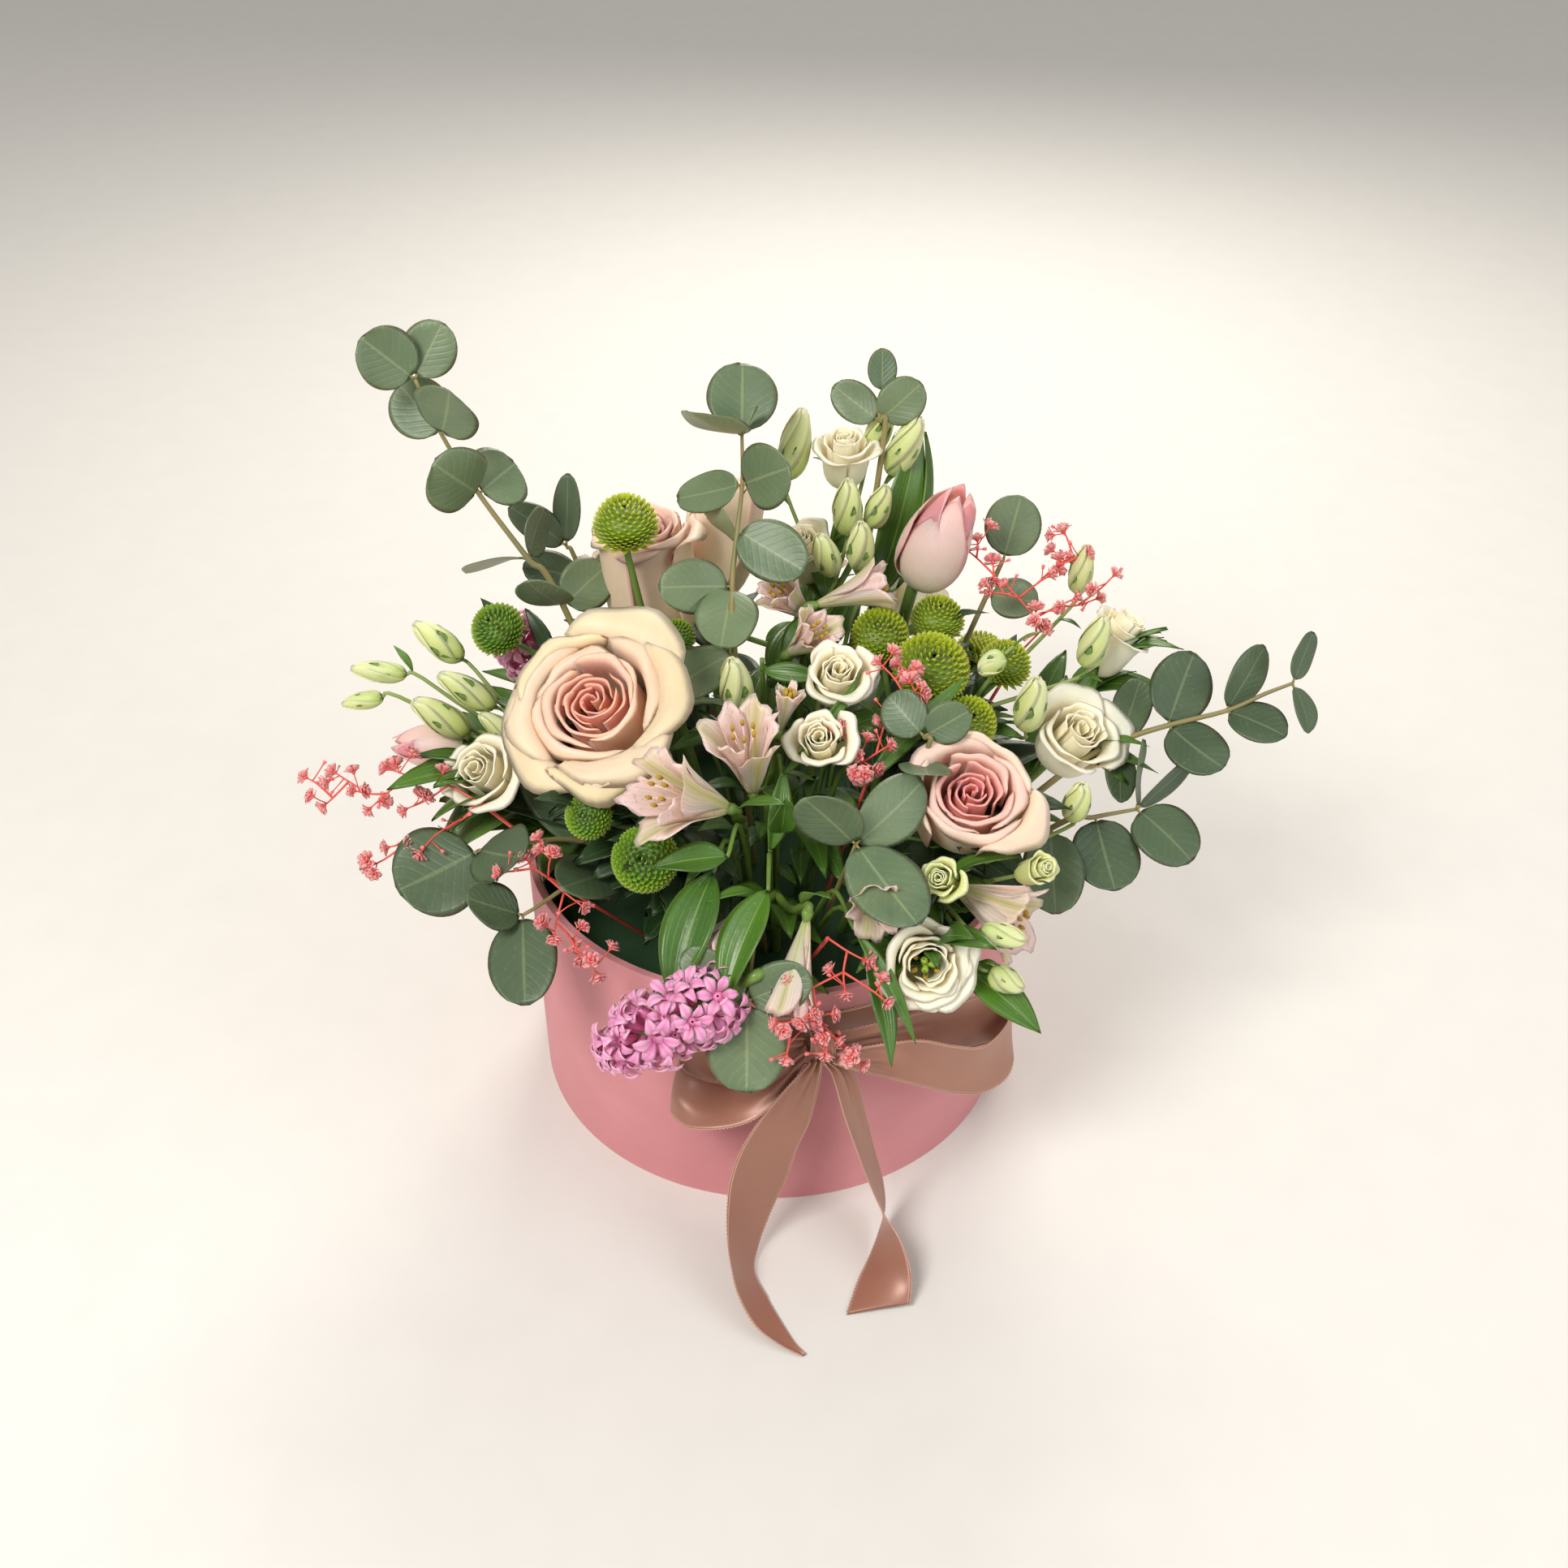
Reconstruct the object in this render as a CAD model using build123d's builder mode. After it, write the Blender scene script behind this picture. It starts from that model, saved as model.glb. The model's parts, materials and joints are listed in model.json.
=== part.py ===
"""A round velvet flower box: a ribbon-tied box and, lifted out of it as one piece, its insert
of floral foam with every flower and sprig that stands in it.

Millimetres, +Z up. The origin is the centre of the box's underside, on the surface it stands
on, and the bow faces -Y.
"""

import os

from build123d import *

os.makedirs("parts", exist_ok=True)

# ---- Driving dimensions -------------------------------------------------------------------
BOX_RADIUS = 100.0
BOX_HEIGHT = 112.0
BOARD = 2.0  # greyboard of the wall and the base
VELVET = 1.0
LINING = 0.5
COVER = 0.5  # paper under the base

RIBBON_WIDTH = 25.0
RIBBON = 0.6
BAND_TOP = 102.0  # upper edge of the strip of ribbon glued to the wall behind the bow
FIT = 0.1  # play between pieces that are stacked or slid together

LINER_PLAY = 1.5  # the foam liner stands this loose in the box
LINER = 0.5
LINER_HEIGHT = 94.0
FOAM_HEIGHT = 88.0
FOAM_BEVEL = 8.0

STEM_DEPTH = 22.0  # how deep a stem is pushed into the foam
STEM_SPREAD = 0.45  # where a stem enters, as a share of its head's distance from the axis
NECK = 10.0  # straight stem under a head
SEAM = 0.05  # between a head or leaf and its stem, which are separate pieces
LEAF = 0.7  # leaf thickness
TWIG_RADIUS = 0.45
MIST_RADIUS = 2.8  # of a gypsophila floret
EUCALYPTUS_STEM = 1.0
BLADE_STEM = 0.9
LEAF_STALK = 1.6  # from the middle of a stem to the edge of its leaf
HUB_REACH = 0.45  # where a spray branches, as a share of the way out from its foot to its heads
HUB_RISE = 0.8  # and as a share of the way up

wall_outer = BOX_RADIUS - VELVET
wall_inner = wall_outer - BOARD
lining_inner = wall_inner - LINING
floor_top = COVER + BOARD
liner_outer = lining_inner - LINER_PLAY
foam_bottom = floor_top + FIT + LINER
foam_top = foam_bottom + FOAM_HEIGHT


# Outlines of the heads, in shares of their radius and depth, from the stem up.
ROSE = [(0.12, 0.0), (0.55, 0.12), (0.92, 0.5), (1.0, 0.78), (0.85, 1.0)]
CUP = [(0.15, 0.0), (0.6, 0.15), (0.9, 0.6), (1.0, 1.0)]
BUD = [(0.3, 0.0), (0.9, 0.22), (0.95, 0.5), (0.5, 0.85), (0.08, 1.0)]
DOME = [(0.25, 0.0), (0.8, 0.12), (1.0, 0.45), (0.75, 0.85), (0.1, 1.0)]
FUNNEL = [(0.2, 0.0), (0.4, 0.3), (0.7, 0.7), (1.0, 1.0)]
SPIKE = [(0.3, 0.0), (0.85, 0.15), (1.0, 0.5), (0.8, 0.85), (0.2, 1.0)]
BALL = [(0.2, 0.0), (0.8, 0.2), (1.0, 0.5), (0.8, 0.85), (0.2, 1.0)]

# ---- Helpers ------------------------------------------------------------------------------
def save(shape, name):
    """Labels one finished piece and writes it as its own STEP file."""
    shape.label = name
    export_step(shape, f"parts/{name}.step")


def ring(outer, inner, bottom, top):
    """An upright tube about the box's axis."""
    with BuildPart() as tube:
        with BuildSketch(Plane.XY.offset(bottom)):
            Circle(outer)
            Circle(inner, mode=Mode.SUBTRACT)
        extrude(amount=top - bottom)
    return tube.part


def turned(base, facing, radius, depth, outline):
    """A closed head turned about its own axis; outline is in shares of radius and depth."""
    axis = Vector(facing).normalized()
    across = Plane(origin=base, z_dir=axis).x_dir
    points = [(r * radius, d * depth) for r, d in outline]
    with BuildPart() as head:
        with BuildSketch(Plane(origin=base, x_dir=across, z_dir=across.cross(axis))):
            with BuildLine():
                Spline(*points)
                Polyline(points[-1], (0, points[-1][1]), (0, 0), points[0])
            make_face()
        revolve(axis=Axis(base, axis))
    return head.part


def tube(points, radius, bend=0.0):
    """A round stem along straight runs, bent at the points between them."""
    start = Vector(points[0])
    with BuildPart() as stem:
        with BuildLine() as route:
            if bend:
                FilletPolyline(*points, radius=bend)
            else:
                Polyline(*points)
        with BuildSketch(Plane(origin=start, z_dir=Vector(points[1]) - start)):
            Circle(radius)
        sweep(path=route.wires()[0])
    return stem.part


def foot_of(place):
    """Where the stem of something at this place ends, inside the foam."""
    return Vector(place.X * STEM_SPREAD, place.Y * STEM_SPREAD, foam_top - STEM_DEPTH)


def head_base(centre, facing, depth):
    """The underside of a head whose middle is at centre."""
    return Vector(centre) - Vector(facing).normalized() * (depth / 2)


def flower(centre, facing, radius, depth, outline, stem_radius):
    """One head on its own stem: straight up from the foam, then bent into the head's axis."""
    axis = Vector(facing).normalized()
    base = head_base(centre, facing, depth)
    tip = base - axis * SEAM
    elbow = tip - axis * NECK
    stem = tube([foot_of(base), elbow, tip], stem_radius, bend=stem_radius * 2.2)
    return [turned(base, facing, radius, depth, outline), stem]


def hub_of(bases):
    """The foot of a spray, and the point above it where its branches part."""
    middle = sum(bases, Vector()) * (1 / len(bases))
    foot = foot_of(middle)
    way = middle - foot
    return foot, foot + Vector(way.X * HUB_REACH, way.Y * HUB_REACH, way.Z * HUB_RISE)


def spray(heads, outline, stem_radius):
    """Several heads on thin branches from one stem; heads are (middle, facing, radius, depth)."""
    bases = [head_base(centre, facing, depth) for centre, facing, _, depth in heads]
    foot, hub = hub_of(bases)
    below = hub + (foot - hub).normalized()
    pieces = [tube([foot, hub], stem_radius * 1.3)]
    for base, (_, facing, radius, depth) in zip(bases, heads):
        tip = base - Vector(facing).normalized() * SEAM
        pieces.append(tube([below, tip], stem_radius))
        pieces.append(turned(base, facing, radius, depth, outline))
    return pieces


def mist(hub, places):
    """Tiny round heads on twigs as thin as thread, from one branching point."""
    hub = Vector(hub)
    foot = foot_of(hub)
    below = hub + (foot - hub).normalized()
    pieces = [tube([foot, hub], TWIG_RADIUS * 1.6)]
    for place in places:
        way = (Vector(place) - hub).normalized()
        base = Vector(place) - way * MIST_RADIUS
        pieces.append(tube([below, base - way * SEAM], TWIG_RADIUS))
        pieces.append(turned(base, way, MIST_RADIUS, 2 * MIST_RADIUS, BALL))
    return pieces


def leaf_frame(node, centre, normal, clearance):
    """The plane of a leaf that starts at its stem and is centred there, and the leaf's length."""
    along = Vector(centre) - Vector(node)
    length = 2 * (along.length - clearance)
    along = along.normalized()
    square = along.cross(Vector(normal).cross(along)).normalized()
    return Plane(origin=Vector(node) + along * clearance, x_dir=along, z_dir=square), length


def round_leaf(node, centre, normal, width, clearance):
    """A flat oval leaf whose edge starts at the stem."""
    plane, length = leaf_frame(node, centre, normal, clearance)
    with BuildPart() as leaf:
        with BuildSketch(plane):
            with Locations((length / 2, 0)):
                Ellipse(length / 2, width / 2)
        extrude(amount=LEAF / 2, both=True)
    return leaf.part


def blade(node, centre, normal, width, clearance=0.0):
    """A flat pointed leaf blade, widest at its middle."""
    plane, length = leaf_frame(node, centre, normal, clearance)
    with BuildPart() as leaf:
        with BuildSketch(plane):
            with BuildLine():
                ThreePointArc((0, 0), (length / 2, width / 2), (length, 0))
                ThreePointArc((length, 0), (length / 2, -width / 2), (0, 0))
            make_face()
        extrude(amount=LEAF / 2, both=True)
    return leaf.part


def assembled(pieces):
    """Several pieces as one node."""
    with BuildPart() as node:
        for piece in pieces:
            add(piece)
    return node.part


# ---- The box ------------------------------------------------------------------------------
with BuildPart() as base_cover:
    with BuildSketch():
        Circle(BOX_RADIUS)
    extrude(amount=COVER)
save(base_cover.part, "base_cover")

with BuildPart() as box_base:
    with BuildSketch(Plane.XY.offset(COVER)):
        Circle(wall_inner)
    extrude(amount=BOARD)
save(box_base.part, "box_base")

save(ring(wall_outer, wall_inner, COVER, BOX_HEIGHT - VELVET), "box_wall")

# The velvet covers the wall outside and is turned in over the rim.
with BuildPart() as velvet_wrap:
    add(ring(BOX_RADIUS, wall_outer, COVER, BOX_HEIGHT))
    add(ring(wall_outer, wall_inner, BOX_HEIGHT - VELVET, BOX_HEIGHT))
    fillet(velvet_wrap.edges().filter_by(GeomType.CIRCLE).group_by(Axis.Z)[-1], VELVET * 0.4)
save(velvet_wrap.part, "velvet_wrap")

save(ring(wall_inner, lining_inner, floor_top, BOX_HEIGHT - VELVET - FIT), "inner_lining")

# ---- The ribbon ---------------------------------------------------------------------------
def ribbon_run(stations):
    """A strip of ribbon through pairs of points on its two edges."""
    edges = [(Vector(left), Vector(right)) for left, right in stations]
    middles = [(left + right) * 0.5 for left, right in edges]
    with BuildPart() as strip:
        for i, (left, right) in enumerate(edges):
            ahead = middles[min(i + 1, len(middles) - 1)] - middles[max(i - 1, 0)]
            across = right - left
            square = across.cross(ahead).cross(across)
            with BuildSketch(Plane(origin=middles[i], x_dir=across, z_dir=square)):
                Rectangle(across.length, RIBBON)
        loft(ruled=True)
    return strip.part


KNOT_AT = Vector(19, -107.5, 96)
KNOT = (10.0, 9.0, 11.0)
KNOT_BEARING = -80.0  # the knot stands a little right of the middle
BAND_REACH = 22.0  # half the arc of wall that the strip behind the bow covers, in degrees
KNOT_ROOT = (6.0, 5.0, 8.0)  # the ends of the knot's wrap, tucked behind it against that strip

band_radius = BOX_RADIUS + FIT + RIBBON / 2
band_middle = BAND_TOP - RIBBON_WIDTH / 2

with BuildPart() as ribbon_band:
    with BuildSketch(Plane.XZ.rotated((0, 0, KNOT_BEARING - BAND_REACH))):
        with Locations((band_radius, band_middle)):
            Rectangle(RIBBON, RIBBON_WIDTH)
    revolve(axis=Axis.Z, revolution_arc=2 * BAND_REACH)
save(ribbon_band.part, "ribbon_band")

root_middle = band_radius + RIBBON / 2 + FIT + KNOT_ROOT[1] / 2
with BuildPart() as bow_knot:
    with BuildSketch(Plane(origin=KNOT_AT - Vector(0, 0, KNOT[2] / 2))):
        Ellipse(KNOT[0] / 2, KNOT[1] / 2)
    extrude(amount=KNOT[2])
    fillet(bow_knot.edges(), 3.0)
    with Locations(Location((0, 0, KNOT_AT.Z), (0, 0, KNOT_BEARING + 90))):
        with Locations((0, -root_middle, 0)):
            Box(*KNOT_ROOT)
save(bow_knot.part, "bow_knot")

# Each loop leaves the knot in front, turns at its outer end and comes back along the wall.
# A station is a pair of points, one on either edge of the ribbon.
LEFT_LOOP = [
    ((13.4, -111, 90), (13.6, -110, 96)),
    ((5, -118, 81), (7, -109, 88)),
    ((-4, -123, 74), (-1, -108, 83)),
    ((-12, -125, 71), (-9, -106, 76)),
    ((-22, -125, 69), (-18, -105, 72)),
    ((-32, -120, 65), (-28, -105.5, 76)),
    ((-38, -111, 64), (-34, -107.5, 84)),
    ((-34, -104, 63), (-32, -103.5, 87)),
    ((-22, -103.5, 66), (-22, -104, 90)),
    ((-5, -104.5, 76), (-5, -105, 95)),
    ((13.4, -106.5, 91), (13.4, -106.5, 98)),
]
RIGHT_LOOP = [
    ((24.6, -111, 90), (24.6, -110, 97)),
    ((33, -113, 88), (33, -112, 99)),
    ((44, -113, 84), (44, -111, 100)),
    ((57, -111, 77), (56, -109, 99)),
    ((70, -105, 67), (69, -104, 91)),
    ((82, -98, 60), (81, -97, 84)),
    ((92, -90, 60), (91, -83, 82)),
    ((94.5, -82, 65), (94, -71, 85)),
    ((87, -79, 67), (88, -72, 89)),
    ((75, -86, 71), (75, -83, 94)),
    ((57, -96, 81), (57, -95, 99)),
    ((42, -102, 88), (42, -102, 100)),
    ((24.6, -106.5, 91), (24.6, -106.5, 98)),
]
# The tails hang, twist and reach the surface; the left one ends in a slanted cut.
LEFT_TAIL = [
    ((15, -112.6, 92), (19, -112.4, 92)),
    ((6, -118, 84), (17.5, -113, 78)),
    ((-4, -122, 70), (14.5, -115, 62)),
    ((-11, -125, 57), (10, -117, 50)),
    ((-15, -128, 44), (6, -118, 34)),
    ((-16.5, -132, 32), (0, -120, 17)),
    ((-16.5, -139, 23), (-5, -127, 5)),
    ((-15, -148, 18), (-6.5, -138, 2)),
    ((-12, -157, 12), (-1, -150, 1)),
    ((-5.5, -166, 6), (5, -162, 1)),
    ((3.5, -172, 3), (9.5, -170, 1)),
    ((12, -175.5, 1), (13.5, -174.5, 1)),
]
RIGHT_TAIL = [
    ((19.6, -112.6, 92), (23.4, -112.4, 92)),
    ((23, -115, 85), (31, -108, 80)),
    ((27, -118, 70), (36, -107, 58)),
    ((32, -120, 53), (40, -106, 37)),
    ((37, -122, 37), (44, -107, 19)),
    ((43, -128, 25), (45, -112, 8)),
    ((49, -136, 20), (42, -121, 3)),
    ((52.5, -143, 14), (38, -131, 1)),
    ((53.5, -148, 9), (34, -141, 1)),
    ((53, -153.5, 3), (29, -157, 1)),
]


def loop(stations, turn):
    """A loop as two strands that meet at its outer end."""
    with BuildPart() as strands:
        add([ribbon_run(stations[: turn + 1]), ribbon_run(stations[turn:])])
    return strands.part


save(loop(LEFT_LOOP, 6), "bow_loop_left")
save(loop(RIGHT_LOOP, 7), "bow_loop_right")
save(ribbon_run(LEFT_TAIL), "ribbon_tail_left")
save(ribbon_run(RIGHT_TAIL), "ribbon_tail_right")

# ---- The insert ---------------------------------------------------------------------------
liner_bottom = floor_top + FIT
with BuildPart() as foam_liner:
    with BuildSketch(Plane.XY.offset(liner_bottom)):
        Circle(liner_outer)
    extrude(amount=LINER_HEIGHT)
    with BuildSketch(Plane.XY.offset(liner_bottom + LINER)):
        Circle(liner_outer - LINER)
    extrude(amount=LINER_HEIGHT, mode=Mode.SUBTRACT)
save(foam_liner.part, "foam_liner")

with BuildPart() as floral_foam:
    with BuildSketch(Plane.XY.offset(foam_bottom)):
        Circle(liner_outer - LINER - FIT)
    extrude(amount=FOAM_HEIGHT)
    chamfer(floral_foam.faces().sort_by(Axis.Z)[-1].edges(), FOAM_BEVEL)
save(floral_foam.part, "floral_foam")

# One head on one stem: (middle, facing, radius, depth).
SINGLE_FLOWERS = {
    "rose_front_left": ((-66, -26, 187), (-0.35, -0.45, 0.8), 33, 50, ROSE, 3.0),
    "rose_right": ((81, -46, 166), (0.35, -0.3, 0.85), 25, 46, ROSE, 3.0),
    "rose_back_left": ((-51, 62, 192), (-0.1, 0, 1), 22, 58, ROSE, 3.0),
    "rose_back_middle": ((-21, 90, 198), (0.2, 0.5, 1), 18, 50, ROSE, 3.0),
    "eustoma_left": ((-111, -20, 154), (-0.35, -0.5, 0.75), 18, 20, CUP, 1.6),
    "eustoma_front": ((56, -102, 131), (0.1, -0.8, 0.55), 17.5, 20, CUP, 1.6),
    "eustoma_right": ((119, -2, 158), (0.3, -0.4, 0.8), 20, 24, CUP, 1.6),
    "eustoma_back_right": ((138, 35, 180), (0.5, 0, 0.85), 14, 28, CUP, 1.6),
    "hyacinth_front": ((-36, -124, 123), (-0.9, -0.4, -0.25), 21, 56, SPIKE, 2.5),
    "hyacinth_left": ((-103, 54, 165), (-0.5, -0.1, 0.8), 17, 40, SPIKE, 3.5),
    "tulip_back": ((68, 58, 216), (0.35, 0, 0.95), 14, 46, BUD, 2.8),
    "tulip_left": ((-136, 2, 152), (-0.95, -0.1, 0.15), 9, 30, BUD, 2.4),
    "santini_tall": ((-56, 35, 239), (0, -0.1, 1), 14, 20, DOME, 1.5),
}
for name, (centre, facing, radius, depth, outline, stem) in SINGLE_FLOWERS.items():
    save(assembled(flower(centre, facing, radius, depth, outline, stem)), name)

# Several heads that branch from one stem.
SPRAYS = {
    "eustoma_middle": (CUP, 1.3, [
        ((25, -15, 196), (0.1, -0.5, 0.85), 15, 20),
        ((19, -40, 184), (-0.1, -0.6, 0.8), 13, 18),
    ]),
    "eustoma_back": (CUP, 1.3, [
        ((30, 88, 236), (0, -0.2, 1), 13, 24),
        ((13, 66, 203), (-0.2, -0.3, 1), 13, 26),
        ((62, 88, 164), (0.4, 0.8, 0.5), 17, 22),
        ((-28, 112, 156), (-0.2, 0.9, 0.4), 16, 22),
    ]),
    "eustoma_buds_left": (BUD, 0.9, [
        ((-133, 26, 187), (-0.7, 0.1, 0.6), 5.5, 24),
        ((-156, 16, 179), (-0.95, 0, 0.12), 4.2, 22),
        ((-161, 4, 173), (-0.9, 0, -0.2), 3.5, 17),
        ((-130, -1, 169), (-0.7, -0.1, 0.6), 6, 26),
        ((-120, 7, 176), (-0.7, 0, 0.5), 5.5, 26),
        ((-106, -2, 164), (-0.7, 0, 0.6), 4.5, 22),
    ]),
    "eustoma_buds_middle": (BUD, 0.9, [
        ((-13, -16, 194), (-0.1, -0.1, 1), 6.2, 26),
        ((-27, 34, 208), (-0.6, 0, 0.7), 5.5, 22),
    ]),
    "eustoma_buds_back": (BUD, 0.9, [
        ((10, 90, 242), (0.2, 0.2, 0.9), 6.5, 30),
        ((45, 96, 247), (0.3, 0.1, 0.9), 5.2, 24),
        ((55, 88, 242), (0.4, 0, 0.9), 6.2, 28),
        ((31, 66, 226), (0, -0.1, 1), 6, 26),
        ((36, 52, 216), (0, -0.2, 1), 5.5, 24),
        ((22, 50, 213), (-0.3, -0.2, 1), 5.2, 22),
        ((44, 70, 224), (0.3, 0, 1), 5, 20),
    ]),
    "eustoma_buds_upper_right": (BUD, 0.9, [
        ((126, 52, 205), (0.1, 0, 1), 4.8, 22),
        ((128, 18, 192), (0.2, 0, 0.9), 5.8, 24),
        ((101, -8, 180), (0.1, -0.1, 1), 6.2, 26),
        ((85, 0, 193), (-0.5, -0.3, -0.2), 4.5, 12),
    ]),
    "eustoma_buds_lower_right": (BUD, 0.9, [
        ((116, -44, 160), (0.1, -0.2, 1), 5.2, 20),
        ((97, -74, 151), (0.4, -0.5, 0.6), 7, 18),
        ((63, -84, 155), (-0.3, -0.6, 0.6), 8, 18),
        ((84, -100, 142), (0.9, -0.3, 0), 4.5, 17),
        ((86, -104, 124), (0.8, -0.4, -0.2), 4.8, 14),
    ]),
    "santini_front": (DOME, 1.3, [
        ((-67, -66, 170), (-0.2, -0.7, 0.6), 9.5, 14),
        ((-46, -76, 158), (-0.1, -0.7, 0.6), 13.5, 17),
        ((-43, -58, 176), (-0.1, -0.4, 0.9), 10, 13),
    ]),
    "santini_right": (DOME, 1.3, [
        ((43, 24, 194), (-0.1, -0.4, 0.9), 12.5, 17),
        ((63, 2, 193), (0.1, -0.4, 0.9), 16.5, 20),
        ((68, 40, 192), (0.1, -0.1, 1), 12, 16),
        ((95, 20, 183), (0.3, -0.2, 0.9), 11.5, 16),
        ((78, -11, 175), (0.2, -0.5, 0.8), 12, 16),
        ((92, 66, 158), (0.6, 0.6, 0.5), 13, 17),
    ]),
    "santini_left": (DOME, 1.3, [
        ((-112, 34, 190), (-0.4, -0.4, 0.8), 12, 17),
        ((-38, 38, 184), (0, -0.3, 1), 8, 13),
        ((-73, 40, 186), (-0.2, -0.3, 1), 9, 13),
        ((-62, 94, 164), (-0.4, 0.7, 0.6), 13, 17),
        ((-84, 82, 150), (-0.7, 0.5, 0.5), 11, 15),
    ]),
    "alstroemeria_left": (FUNNEL, 1.6, [
        ((-29, -74, 184), (-0.75, -0.35, 0.5), 15, 36),
    ]),
    "alstroemeria_middle": (FUNNEL, 1.6, [
        ((-8, -52, 186), (-0.1, -0.2, 1), 13, 38),
        ((6, -27, 190), (0.2, 0, 1), 5, 20),
    ]),
    "alstroemeria_front": (FUNNEL, 1.6, [
        ((10, -112, 136), (-0.15, -0.5, -0.7), 9, 38),
        ((-15, -97, 141), (-0.6, -0.5, -0.5), 8, 26),
    ]),
    "alstroemeria_front_right": (FUNNEL, 1.6, [
        ((38, -88, 152), (0.1, -0.8, 0.1), 11, 26),
        ((82, -80, 138), (0.7, -0.5, -0.1), 14, 32),
    ]),
    "alstroemeria_back": (FUNNEL, 1.6, [
        ((33, 32, 206), (0.9, 0, 0.35), 9, 32),
        ((8, 38, 198), (-0.5, -0.3, 0.7), 9, 28),
        ((14, 14, 195), (0.5, -0.4, 0.7), 9, 26),
        ((18, 108, 168), (0.1, 0.8, 0.4), 12, 32),
        ((-66, 76, 186), (-0.5, 0.6, 0.6), 10, 30),
    ]),
}
for name, (outline, stem, heads) in SPRAYS.items():
    save(assembled(spray(heads, outline, stem)), name)

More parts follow.
